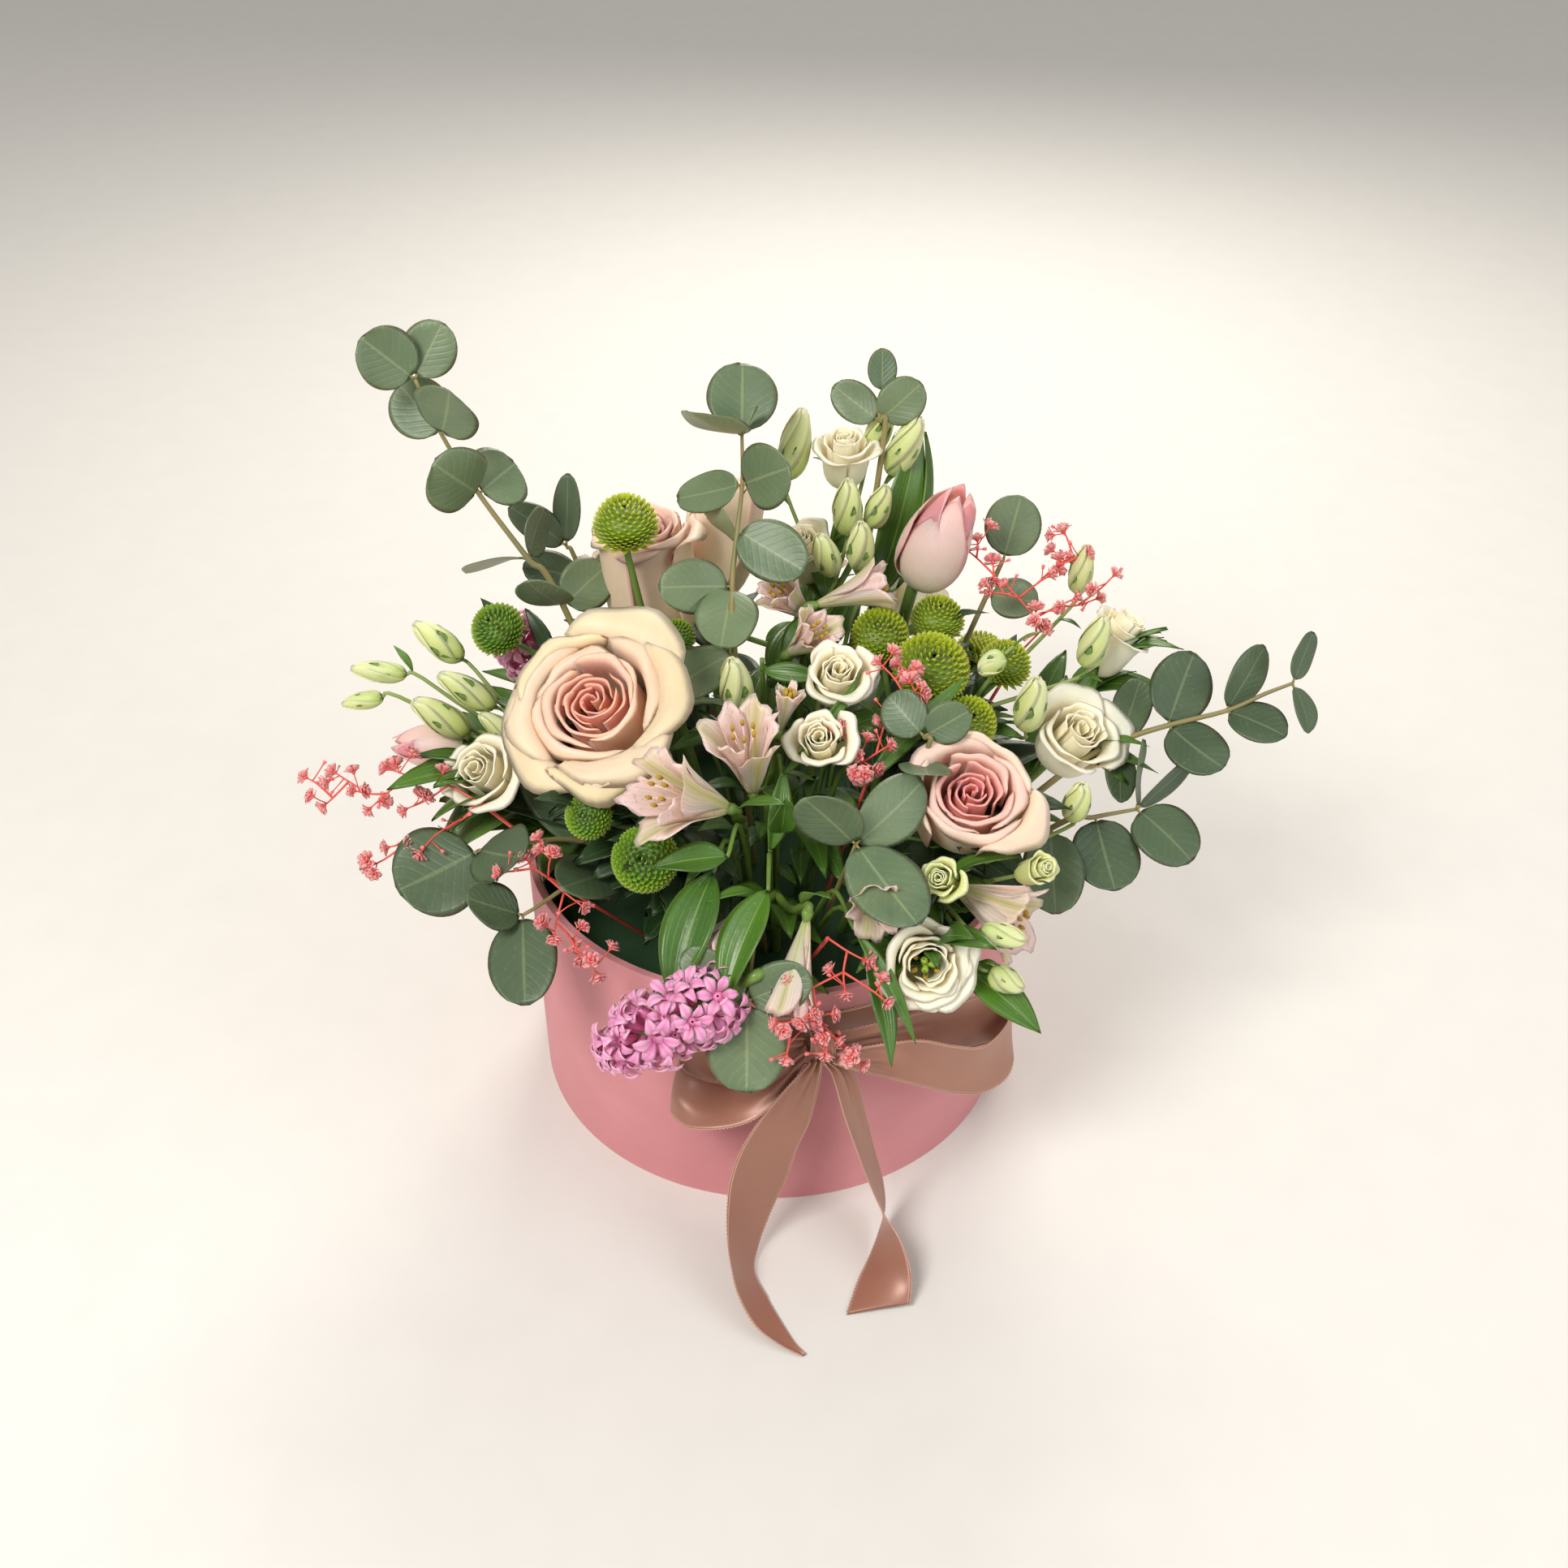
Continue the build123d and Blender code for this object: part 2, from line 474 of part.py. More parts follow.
# ---- Eucalyptus -----------------------------------------------------------------------------
# A sprig is its stem's points above the foam and its leaves: (the point that the leaf grows
# from, its middle, the direction its face looks in, its width).
EUCALYPTUS = {
    "eucalyptus_tall_left": (
        [(-84, 43, 193), (-97, 45, 214), (-114, 48, 241), (-126, 50, 265), (-134, 52, 287)],
        [
            (4, (-143, 49, 297), (0, -0.8, 0.6), 24),
            (4, (-128, 57, 297), (0.2, -0.8, 0.6), 21),
            (3, (-122, 43, 278), (0, -0.9, 0.5), 27),
            (3, (-135, 57, 273), (0, -0.8, 0.6), 24),
            (2, (-121, 40, 252), (0, -0.9, 0.5), 28),
            (2, (-107, 56, 244), (0.2, -0.8, 0.6), 27),
            (1, (-94, 54, 221), (0.9, -0.4, 0), 22),
            (1, (-112, 54, 205), (0, 0.5, 0.9), 18),
            (0, (-90, 35, 204), (-0.4, -0.8, 0.5), 22),
            (0, (-75, 50, 199), (0.4, -0.8, 0.5), 22),
        ],
    ),
    "eucalyptus_back_left": (
        [(-78, 68, 190), (-85, 73, 204)],
        [
            (1, (-84, 78, 219), (-0.2, -0.9, 0.3), 12),
            (1, (-97, 74, 213), (0, -0.6, 0.8), 15),
            (0, (-91, 66, 195), (0.2, -0.6, 0.8), 18),
            (0, (-66, 72, 196), (0, -0.5, 0.9), 18),
        ],
    ),
    "eucalyptus_centre": (
        [(-14, 8, 193), (-15, 28, 211), (-13, 42, 228), (-11, 50, 244), (-11, 58, 261)],
        [
            (4, (-11, 69, 272), (0, -0.7, 0.7), 28),
            (4, (-21, 50, 270), (0.1, 0.6, 0.8), 27),
            (4, (-8, 55, 269), (0.9, -0.3, 0.2), 10),
            (3, (-1, 42, 252), (0, -0.9, 0.5), 26),
            (3, (-25, 57, 237), (0.2, -0.7, 0.7), 17),
            (2, (-20, 52, 226), (0.9, -0.4, 0.3), 18),
            (2, (1, 34, 223), (0.2, -0.9, 0.5), 24),
            (1, (-30, 24, 213), (-0.2, -0.8, 0.6), 22),
            (1, (-17, 12, 206), (0, -0.6, 0.8), 25),
            (0, (-27, -6, 192), (-0.3, -0.7, 0.7), 22),
        ],
    ),
    "eucalyptus_back": (
        [(45, 85, 238), (44, 90, 252), (45, 94, 262)],
        [
            (2, (45, 98, 271), (0, -0.8, 0.6), 12),
            (1, (34, 95, 258), (-0.2, -0.8, 0.6), 16),
            (1, (53, 92, 260), (0.3, -0.8, 0.6), 19),
        ],
    ),
    "eucalyptus_back_right": (
        [(90, 64, 186), (97, 74, 197)],
        [
            (1, (101, 83, 208), (0, -0.8, 0.6), 24),
            (0, (101, 60, 186), (0.2, -0.7, 0.7), 18),
        ],
    ),
    "eucalyptus_right": (
        [(113, -10, 145), (139, 0, 156), (157, 0, 164), (179, 0, 171), (193, 0, 179), (203, 0, 184)],
        [
            (1, (145, 15, 162), (0, -0.6, 0.8), 16),
            (1, (138, -12, 149), (0.3, -0.5, 0.8), 14),
            (2, (163, 11, 175), (0, -0.7, 0.7), 25),
            (2, (167, -11, 161), (0, -0.5, 0.9), 23),
            (3, (187, 8, 182), (0.3, -0.9, 0.2), 17),
            (3, (190, -8, 170), (0.1, -0.5, 0.9), 19),
            (5, (207, 6, 193), (0.5, -0.8, 0.2), 12),
            (5, (206, -7, 176), (0.7, -0.7, 0.2), 14),
        ],
    ),
    "eucalyptus_lower_right": (
        [(108, -38, 142), (126, -32, 143), (143, -27, 143)],
        [
            (2, (145, -16, 153), (0.9, -0.4, 0), 16),
            (2, (156, -18, 150), (0.6, -0.7, 0.2), 10),
            (2, (153, -38, 138), (-0.1, -0.3, 0.9), 26),
            (1, (129, -46, 135), (0, -0.2, 1), 27),
            (0, (108, -54, 133), (0, -0.2, 1), 24),
        ],
    ),
    "eucalyptus_front": (
        [(31, -80, 168)],
        [
            (0, (21, -84, 182), (-0.2, -0.9, 0.3), 22),
            (0, (42, -96, 162), (0.1, -0.5, 0.9), 27),
            (0, (44, -68, 174), (0.2, -0.8, 0.5), 22),
        ],
    ),
    "eucalyptus_inner": (
        [(57, -42, 178), (57, -40, 187)],
        [
            (1, (50, -33, 192), (-0.1, -0.8, 0.6), 18),
            (1, (66, -38, 192), (0.2, -0.8, 0.6), 16),
            (0, (57, -54, 183), (0.1, 0.6, 0.8), 20),
        ],
    ),
    "eucalyptus_left": (
        [(-70, -30, 128), (-111, -50, 141)],
        [
            (1, (-126, -59, 138), (-0.1, -0.6, 0.8), 38),
            (1, (-100, -62, 149), (0, -0.5, 0.9), 27),
            (0, (-84, -20, 142), (0, -0.5, 0.9), 22),
        ],
    ),
    "eucalyptus_front_left": (
        [(-60, -46, 128), (-92, -76, 131)],
        [
            (1, (-102, -80, 139), (0, -0.4, 0.9), 20),
            (1, (-90, -94, 124), (-0.1, -0.5, 0.9), 26),
            (0, (-68, -66, 140), (0.2, -0.5, 0.9), 24),
        ],
    ),
    "eucalyptus_over_bow": (
        [(-4, -84, 136), (-8, -117, 126)],
        [
            (1, (-8, -127, 112), (-0.1, -0.8, 0.6), 29),
            (1, (4, -117, 133), (0.3, -0.6, 0.7), 19),
            (1, (-20, -112, 134), (-0.3, -0.6, 0.7), 17),
        ],
    ),
}
for name, (route, leaves) in EUCALYPTUS.items():
    points = [Vector(point) for point in route]
    pieces = [tube([foot_of(points[0]), *points], EUCALYPTUS_STEM)]
    for joint, centre, normal, width in leaves:
        pieces.append(round_leaf(points[joint], centre, normal, width, LEAF_STALK))
    save(assembled(pieces), name)

# ---- Green blades -----------------------------------------------------------------------------
# (Where the blade grows from, its middle, the direction its face looks in, its width.)
BLADES = {
    "leaves_front": [
        ((-20, -80, 156), (-28, -100, 142), (-0.3, -0.5, 0.8), 20),
        ((0, -90, 156), (-8, -106, 143), (-0.5, -0.5, 0.7), 17),
        ((-14, -82, 164), (-28, -86, 165), (0, -0.5, 0.9), 12),
        ((4, -66, 162), (5, -70, 173), (0.1, -0.9, 0.3), 11),
        ((34, -94, 134), (39, -112, 119), (0.5, -0.6, 0.6), 9),
        ((30, -96, 143), (42, -112, 129), (0.4, -0.7, 0.6), 6),
        ((66, -94, 126), (83, -104, 116), (0.2, -0.5, 0.9), 15),
        ((4, -50, 175), (20, -33, 188), (0.4, -0.8, 0.5), 6),
        ((34, -44, 166), (55, -26, 180), (0, -0.7, 0.7), 8),
        ((-4, 0, 190), (9, -3, 190), (0.2, -0.7, 0.7), 8),
        ((0, -66, 152), (3, -56, 166), (0.3, -0.9, 0.3), 9),
    ],
    "tulip_leaves": [
        ((42, 66, 180), (52, 82, 216), (0.4, -0.8, 0.3), 21),
        ((52, 70, 184), (60, 84, 214), (0.8, -0.4, 0.1), 14),
    ],
}

# A collar of leaves leans out over the rim at the sides and the back.
COLLAR_LEAVES = 12
COLLAR_FIRST, COLLAR_LAST = -12.0, 192.0  # degrees from +X
collar = []
for i in range(COLLAR_LEAVES):
    bearing = COLLAR_FIRST + (COLLAR_LAST - COLLAR_FIRST) * i / (COLLAR_LEAVES - 1)
    rise = 14 if i % 2 else 4
    node, middle, face = (
        Vector(reach, 0, height).rotate(Axis.Z, bearing)
        for reach, height in ((66, 116), (92, 118 + rise), (0.3, 1))
    )
    collar.append((tuple(node), tuple(middle), tuple(face), 22))
BLADES["leaves_collar"] = collar


def blade_stem(node):
    """The stem of a blade: up inside the rim, then out to where the blade starts."""
    elbow = Vector(node.X * 0.75, node.Y * 0.75, node.Z - 4)
    return tube([foot_of(elbow), elbow, node], BLADE_STEM)


for name, blades in BLADES.items():
    pieces = []
    for node, centre, normal, width in blades:
        pieces.append(blade(node, centre, normal, width, LEAF_STALK))
        pieces.append(blade_stem(Vector(node)))
    save(assembled(pieces), name)

# ---- Gypsophila -------------------------------------------------------------------------------
# Each spray is its branching point and the places of its florets.
GYPSOPHILA = {
    "gypsophila_left": [
        ((-112, -34, 152), [
            (-182, -20, 154), (-174, -30, 146), (-171, -18, 155), (-163, -24, 150),
            (-156, -32, 146), (-150, -20, 158), (-142, -33, 147), (-137, -22, 157),
            (-155, -50, 132), (-148, -45, 138), (-133, -54, 142), (-126, -40, 142),
        ]),
        ((-82, -70, 144), [
            (-100, -74, 150), (-90, -70, 154), (-79, -72, 158), (-78, -95, 136),
            (-71, -92, 131), (-67, -86, 143), (-62, -104, 126), (-68, -103, 132),
        ]),
    ],
    "gypsophila_right": [
        ((102, 36, 176), [
            (118, 60, 219), (121, 54, 209), (128, 50, 214), (138, 42, 209),
            (132, 38, 200), (122, 33, 203), (113, 46, 206), (106, 34, 198),
            (94, 46, 202), (90, 56, 207), (84, 64, 213), (79, 68, 206),
            (87, 40, 201), (109, 27, 193),
        ]),
    ],
    "gypsophila_middle": [
        ((38, -36, 168), [
            (47, -27, 192), (55, -14, 200), (45, -42, 185), (32, -46, 183),
            (26, -38, 190), (33, -56, 180), (56, -28, 202), (40, -18, 206),
        ]),
    ],
    "gypsophila_front": [
        ((21, -100, 141), [
            (7, -121, 128), (2, -127, 125), (11, -129, 127), (17, -124, 121),
            (25, -128, 117), (20, -131, 113), (30, -125, 109), (34, -129, 106),
            (42, -121, 129), (36, -110, 138), (27, -117, 129), (6, -133, 113),
        ]),
    ],
}
for name, sprays in GYPSOPHILA.items():
    pieces = []
    for hub, places in sprays:
        pieces += mist(hub, places)
    save(assembled(pieces), name)
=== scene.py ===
"""The looks of the flower box: velvet, satin ribbon and every flower, built around its CAD frame.

Shapes are in millimetres, as in the part's own source, and become metres in Shape.build. The
camera, the lights, the floor and the materials are in metres.
"""

import json
import math
import random

import bpy
import numpy as np
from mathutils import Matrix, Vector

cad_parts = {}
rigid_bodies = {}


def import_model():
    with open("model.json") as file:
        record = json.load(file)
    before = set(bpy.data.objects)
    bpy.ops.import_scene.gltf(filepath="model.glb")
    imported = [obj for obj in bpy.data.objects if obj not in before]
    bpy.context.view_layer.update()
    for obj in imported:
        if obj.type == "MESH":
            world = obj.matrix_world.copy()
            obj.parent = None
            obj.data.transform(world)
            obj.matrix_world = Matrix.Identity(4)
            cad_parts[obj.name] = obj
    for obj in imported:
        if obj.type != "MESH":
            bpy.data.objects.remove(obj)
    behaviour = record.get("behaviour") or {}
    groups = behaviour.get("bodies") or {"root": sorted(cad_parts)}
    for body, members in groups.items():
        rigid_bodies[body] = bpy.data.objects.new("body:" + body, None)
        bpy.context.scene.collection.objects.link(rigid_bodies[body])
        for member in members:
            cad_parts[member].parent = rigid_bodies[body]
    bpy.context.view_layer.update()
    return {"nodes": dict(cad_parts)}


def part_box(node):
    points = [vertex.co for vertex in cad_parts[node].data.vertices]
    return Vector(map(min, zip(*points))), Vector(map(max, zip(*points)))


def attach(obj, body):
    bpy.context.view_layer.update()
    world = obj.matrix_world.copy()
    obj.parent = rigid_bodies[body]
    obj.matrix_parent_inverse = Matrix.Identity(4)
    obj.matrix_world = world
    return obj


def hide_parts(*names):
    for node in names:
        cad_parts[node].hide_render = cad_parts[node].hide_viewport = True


for leftover in list(bpy.data.objects):
    bpy.data.objects.remove(leftover)

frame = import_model()

MM = 0.001
GOLDEN = math.radians(137.508)  # the turn from one petal or floret of a spiral to the next

CAMERA_PLACE, CAMERA_TARGET = (0.0053, -0.5765, 0.5664), (0.0053, 0, 0.1351)
SENSOR_WIDTH, LENS = 36, 40.8
LIGHT_TARGET = (0, 0, 0.12)
FLOOR_REACH = 6.0


# ---- Camera, light and floor ----------------------------------------------------------------
def aim(thing, place, target):
    """Puts a camera or a light at place, looking at target, both in metres."""
    thing.location = place
    way = Vector(target) - Vector(place)
    thing.rotation_euler = way.to_track_quat("-Z", "Y").to_euler()


def add_camera():
    data = bpy.data.cameras.new("camera")
    data.sensor_width = SENSOR_WIDTH
    data.lens = LENS
    camera = bpy.data.objects.new("camera", data)
    bpy.context.scene.collection.objects.link(camera)
    aim(camera, CAMERA_PLACE, CAMERA_TARGET)
    bpy.context.scene.camera = camera


def add_softbox(name, place, size, watts, colour):
    data = bpy.data.lights.new(name, "AREA")
    data.shape = "DISK"
    data.size = size
    data.energy = watts
    data.color = colour
    lamp = bpy.data.objects.new(name, data)
    bpy.context.scene.collection.objects.link(lamp)
    aim(lamp, place, LIGHT_TARGET)


def add_studio():
    add_softbox("key", (-0.55, -0.75, 1.15), 0.55, 15, (1, 0.97, 0.93))
    add_softbox("fill", (0.95, -0.6, 0.75), 0.9, 5, (0.96, 0.98, 1))
    add_softbox("back", (0.15, 1.0, 0.85), 0.5, 9, (1, 0.95, 0.86))
    world = bpy.data.worlds.new("studio")
    world.use_nodes = True
    sky = world.node_tree.nodes["Background"]
    sky.inputs["Color"].default_value = (0.98, 0.96, 0.93, 1)
    sky.inputs["Strength"].default_value = 0.5
    bpy.context.scene.world = world
    bpy.context.scene.view_settings.view_transform = "Standard"


# ---- Mesh building --------------------------------------------------------------------------
def vec(point):
    return np.asarray(point, float)


def unit(v):
    v = vec(v)
    return v / max(np.linalg.norm(v), 1e-9)


def axes_about(axis, hint=(0, 0, 1)):
    """Two directions square to an axis, and the axis."""
    z = unit(axis)
    x = np.cross(hint, z)
    if np.linalg.norm(x) < 1e-3:
        x = np.cross((1, 0, 0), z)
    x = unit(x)
    return x, np.cross(z, x), z


def smooth(points, count):
    """Points along a Catmull-Rom curve through the given ones."""
    p = vec(points)
    if len(p) == 2:
        return p[0] + (p[1] - p[0]) * np.linspace(0, 1, count)[:, None]
    p = np.vstack([2 * p[0] - p[1], p, 2 * p[-1] - p[-2]])
    spans = len(p) - 3
    out = []
    for s in np.linspace(0, spans, count):
        i = min(int(s), spans - 1)
        t = s - i
        a, b, c, d = p[i : i + 4]
        out.append(
            0.5 * (2 * b + (c - a) * t + (2 * a - 5 * b + 4 * c - d) * t**2 + (3 * b - a - 3 * c + d) * t**3)
        )
    return vec(out)


def bezier(points, s):
    """A Bezier curve's points at the shares s."""
    n = len(points) - 1
    s = np.clip(s, 0, 1)[..., None]
    return sum(math.comb(n, i) * (1 - s) ** (n - i) * s**i * vec(p) for i, p in enumerate(points))


def ease(x):
    x = np.clip(x, 0, 1)
    return x * x * (3 - 2 * x)


class Shape:
    """A mesh as it grows. Each point has a tint: how far along its petal it is, where it is
    across (0 at one edge, 1 at the other), its petal's place from the heart outwards, and its
    petal's own random share. Materials read those four numbers."""

    def __init__(self):
        self.points, self.tints, self.faces, self.slots = [], [], [], []
        self.count = 0

    def add(self, points, faces, tints, slot):
        self.points.append(points.reshape(-1, 3))
        self.tints.append(tints.reshape(-1, 4))
        self.faces += (np.asarray(faces) + self.count).tolist()
        self.slots += [slot] * len(faces)
        self.count += len(self.points[-1])

    def petal(self, grid, tints, thickness, slot):
        """A thin closed sheet about a grid of points, thickest in its middle."""
        n, m = grid.shape[:2]
        square = np.cross(np.gradient(grid, axis=0), np.gradient(grid, axis=1))
        square /= np.maximum(np.linalg.norm(square, axis=2, keepdims=True), 1e-9)
        swell = np.zeros((n, m, 1))
        swell[1:-1, 1:-1] = thickness / 2
        front = np.arange(n * m).reshape(n, m)
        back = front.copy()
        back[1:-1, 1:-1] = n * m + np.arange((n - 2) * (m - 2)).reshape(n - 2, m - 2)
        points = np.vstack([
            (grid + square * swell).reshape(-1, 3),
            (grid - square * swell)[1:-1, 1:-1].reshape(-1, 3),
        ])
        under = tints[1:-1, 1:-1].reshape(-1, 4).copy()
        under[:, 2] += 2
        faces = np.vstack([quads(front), quads(back)[:, ::-1]])
        self.add(points, faces, np.vstack([tints.reshape(-1, 4), under]), slot)

    def tube(self, path, radii, slot, sides=7, vary=0.5):
        """A round stem along a path, closed at both ends."""
        path = vec(path)
        radii = np.broadcast_to(radii, len(path))
        ahead = np.gradient(path, axis=0)
        x, _, _ = axes_about(ahead[0])
        rings = []
        turn = np.linspace(0, 2 * math.pi, sides, endpoint=False)[:, None]
        for centre, way, radius in zip(path, ahead, radii):
            x = unit(x - unit(way) * np.dot(x, unit(way)))
            y = np.cross(unit(way), x)
            rings.append(centre + radius * (np.cos(turn) * x + np.sin(turn) * y))
        rings = [path[0] + (rings[0] - path[0]) * 0.2, *rings, path[-1] + (rings[-1] - path[-1]) * 0.2]
        n = len(rings)
        index = np.arange(n * sides).reshape(n, sides)
        index = np.hstack([index, index[:, :1]])
        tints = np.zeros((n, sides, 4))
        tints[..., 0] = np.linspace(0, 1, n)[:, None]
        tints[..., 1] = 0.5
        tints[..., 3] = vary
        start = self.count
        self.add(vec(rings), quads(index)[:, ::-1], tints, slot)
        self.faces += [(index[0, :-1] + start).tolist(), (index[-1, :-1][::-1] + start).tolist()]
        self.slots += [slot, slot]

    def build(self, name, materials):
        mesh = bpy.data.meshes.new(name)
        mesh.from_pydata((np.vstack(self.points) * MM).tolist(), [], self.faces)
        tint = mesh.attributes.new("tint", "FLOAT_COLOR", "POINT")
        tint.data.foreach_set("color", np.vstack(self.tints).astype(np.float32).ravel())
        for material in materials:
            mesh.materials.append(material)
        mesh.polygons.foreach_set("material_index", self.slots)
        mesh.shade_smooth()
        piece = bpy.data.objects.new(name, mesh)
        bpy.context.scene.collection.objects.link(piece)
        return piece


def quads(index):
    return np.stack([index[:-1, :-1], index[1:, :-1], index[1:, 1:], index[:-1, 1:]], axis=-1).reshape(-1, 4)


def tint_grid(rows, columns, shade, vary):
    tints = np.zeros((rows, columns, 4))
    tints[..., 0] = np.linspace(0, 1, rows)[:, None]
    tints[..., 1] = np.linspace(0, 1, columns)[None, :]
    tints[..., 2] = shade
    tints[..., 3] = vary
    return tints


# ---- Materials --------------------------------------------------------------------------------
def srgb(red, green, blue):
    """A display colour, 0 to 255, as the linear colour that a shader takes."""
    shares = [c / 255 for c in (red, green, blue)]
    linear = [((c + 0.055) / 1.055) ** 2.4 if c > 0.04045 else c / 12.92 for c in shares]
    return (*linear, 1.0)


class Paint:
    """Shorthand for one material's node tree."""

    def __init__(self, name, roughness, **values):
        self.material = bpy.data.materials.new(name)
        self.material.use_nodes = True
        self.tree = self.material.node_tree
        self.shader = self.tree.nodes["Principled BSDF"]
        self.shader.inputs["Roughness"].default_value = roughness
        for key, value in values.items():
            self.shader.inputs[key.replace("_", " ")].default_value = value

    def plug(self, socket, value):
        if isinstance(value, bpy.types.NodeSocket):
            self.tree.links.new(value, socket)
        else:
            socket.default_value = value

    def node(self, kind, **settings):
        made = self.tree.nodes.new("ShaderNode" + kind)
        for key, value in settings.items():
            setattr(made, key, value)
        return made

    def math(self, operation, a, b=0.0):
        made = self.node("Math", operation=operation)
        self.plug(made.inputs[0], a)
        self.plug(made.inputs[1], b)
        return made.outputs[0]

    def times(self, a, b):
        return self.math("MULTIPLY", a, b)

    def plus(self, a, b):
        return self.math("ADD", a, b)

    def minus(self, a, b):
        return self.math("SUBTRACT", a, b)

    def power(self, a, b):
        return self.math("POWER", a, b)

    def mix(self, share, a, b, blend="MIX"):
        made = self.node("Mix", data_type="RGBA", blend_type=blend)
        self.plug(made.inputs[0], share)
        self.plug(made.inputs[6], a)
        self.plug(made.inputs[7], b)
        return made.outputs[2]

    def place(self):
        return self.node("TexCoord").outputs["Object"]

    def noise(self, scale, detail=2.0, stretch=None):
        made = self.node("TexNoise")
        place = self.place()
        if stretch:
            mapping = self.node("Mapping")
            self.plug(mapping.inputs["Vector"], place)
            mapping.inputs["Scale"].default_value = stretch
            place = mapping.outputs[0]
        self.plug(made.inputs["Vector"], place)
        made.inputs["Scale"].default_value = scale
        made.inputs["Detail"].default_value = detail
        return made.outputs["Fac"]

    def ramp(self, value, stops):
        made = self.node("ValToRGB")
        elements = made.color_ramp.elements
        while len(elements) < len(stops):
            elements.new(0.5)
        for element, (place, colour) in zip(elements, stops):
            element.position = place
            element.color = colour
        self.plug(made.inputs[0], value)
        return made.outputs[0]

    def tint(self):
        """Along, across, heart-to-outside and random share of the petal."""
        made = self.node("Attribute", attribute_name="tint")
        parts = self.node("SeparateColor")
        self.plug(parts.inputs[0], made.outputs["Color"])
        return (*parts.outputs, made.outputs["Alpha"])

    def from_middle(self, across):
        """0 along the midrib, 1 at either edge."""
        doubled = self.times(across, 2.0)
        return self.math("ABSOLUTE", self.minus(doubled, 1.0))

    def bump(self, height, strength, depth):
        made = self.node("Bump")
        made.inputs["Strength"].default_value = strength
        made.inputs["Distance"].default_value = depth
        self.plug(made.inputs["Height"], height)
        self.plug(self.shader.inputs["Normal"], made.outputs[0])

    def finish(self, colour):
        self.plug(self.shader.inputs["Base Color"], colour)
        return self.material


def petal_paint(name, base, stops, edge, vein=0.1, roughness=0.5, stripe=None, streaks=0.0):
    """A petal: coloured by stops from the heart outwards, fading to base at its foot and to edge
    at its rim, with fine veins, a soft mottle and sometimes a stripe along its middle."""
    paint = Paint(name, roughness, Subsurface_Weight=0.4, Subsurface_Scale=0.006)
    paint.shader.inputs["Subsurface Radius"].default_value = (1.0, 0.6, 0.4)
    paint.shader.inputs["Sheen Weight"].default_value = 0.15
    paint.shader.inputs["Sheen Roughness"].default_value = 0.4
    along, across, shade, vary = paint.tint()
    # The underside's shade is 2 higher, so two steps bring it back to the face's own 0 to 1.
    shade = paint.math("FRACT", paint.times(shade, 0.4995))
    shade = paint.math("FRACT", paint.times(shade, 2.0))
    middle = paint.from_middle(across)
    colour = paint.ramp(shade, stops)
    if stripe:
        centre = paint.power(paint.minus(1.0, middle), 3.0)
        colour = paint.mix(paint.times(centre, 0.85), colour, stripe)
    foot = paint.power(paint.minus(1.0, along), 2.2)
    colour = paint.mix(foot, colour, base)
    rim = paint.math("MAXIMUM", paint.power(along, 9.0), paint.power(middle, 7.0))
    colour = paint.mix(paint.times(rim, 0.4), colour, edge)
    wander = paint.times(paint.noise(180, 3), 7.0)
    lines = paint.math("SINE", paint.plus(paint.times(across, 85.0), wander))
    lines = paint.times(paint.plus(lines, 1.0), 0.5)
    colour = paint.mix(paint.times(lines, vein), colour, base)
    if streaks:
        dashes = paint.math("GREATER_THAN", paint.noise(900, 1, (1, 1, 0.25)), 0.62)
        dashes = paint.times(dashes, paint.minus(1.0, middle))
        colour = paint.mix(paint.times(dashes, streaks), colour, srgb(110, 30, 50))
    mottle = paint.plus(0.9, paint.times(paint.noise(90, 4), 0.2))
    mottle = paint.times(mottle, paint.plus(0.95, paint.times(vary, 0.1)))
    grey = paint.node("CombineColor")
    for socket in grey.inputs:
        paint.plug(socket, mottle)
    colour = paint.mix(1.0, colour, grey.outputs[0], "MULTIPLY")
    height = paint.plus(paint.times(lines, 0.6), paint.noise(1500, 2))
    paint.bump(height, 0.25, 0.0002)
    return paint.finish(colour)


def leaf_paint(name, front, dark, back, rib, edge, roughness, side_veins=14.0, vein=0.08, parallel=False):
    """A leaf: its face mottled between two greens, its back paler, with a midrib and veins."""
    paint = Paint(name, roughness, Subsurface_Weight=0.08, Subsurface_Scale=0.002)
    along, across, shade, vary = paint.tint()
    middle = paint.from_middle(across)
    blotch = paint.plus(paint.noise(45, 4), paint.times(vary, 0.5))
    colour = paint.mix(paint.minus(blotch, 0.35), front, dark)
    under = paint.math("GREATER_THAN", shade, 1.5)
    colour = paint.mix(under, colour, back)
    if parallel:
        wave = paint.math("SINE", paint.times(across, side_veins * 6))
    else:
        slant = paint.minus(along, paint.times(middle, 0.35))
        slant = paint.plus(slant, paint.times(paint.noise(120), 0.05))
        wave = paint.math("SINE", paint.times(slant, side_veins * 6.3))
    veins = paint.power(paint.times(paint.plus(wave, 1.0), 0.5), 6.0)
    colour = paint.mix(paint.times(veins, vein), colour, rib)
    midrib = paint.math("LESS_THAN", middle, 0.045)
    colour = paint.mix(paint.times(midrib, 0.4), colour, rib)
    rim = paint.power(middle, 26.0)
    colour = paint.mix(paint.times(rim, 0.35), colour, edge)
    specks = paint.math("GREATER_THAN", paint.noise(700, 1), 0.71)
    colour = paint.mix(paint.times(specks, 0.25), colour, rib)
    height = paint.minus(paint.noise(400, 3), paint.times(veins, 0.5))
    height = paint.minus(height, midrib)
    paint.bump(height, 0.35, 0.0003)
    return paint.finish(colour)


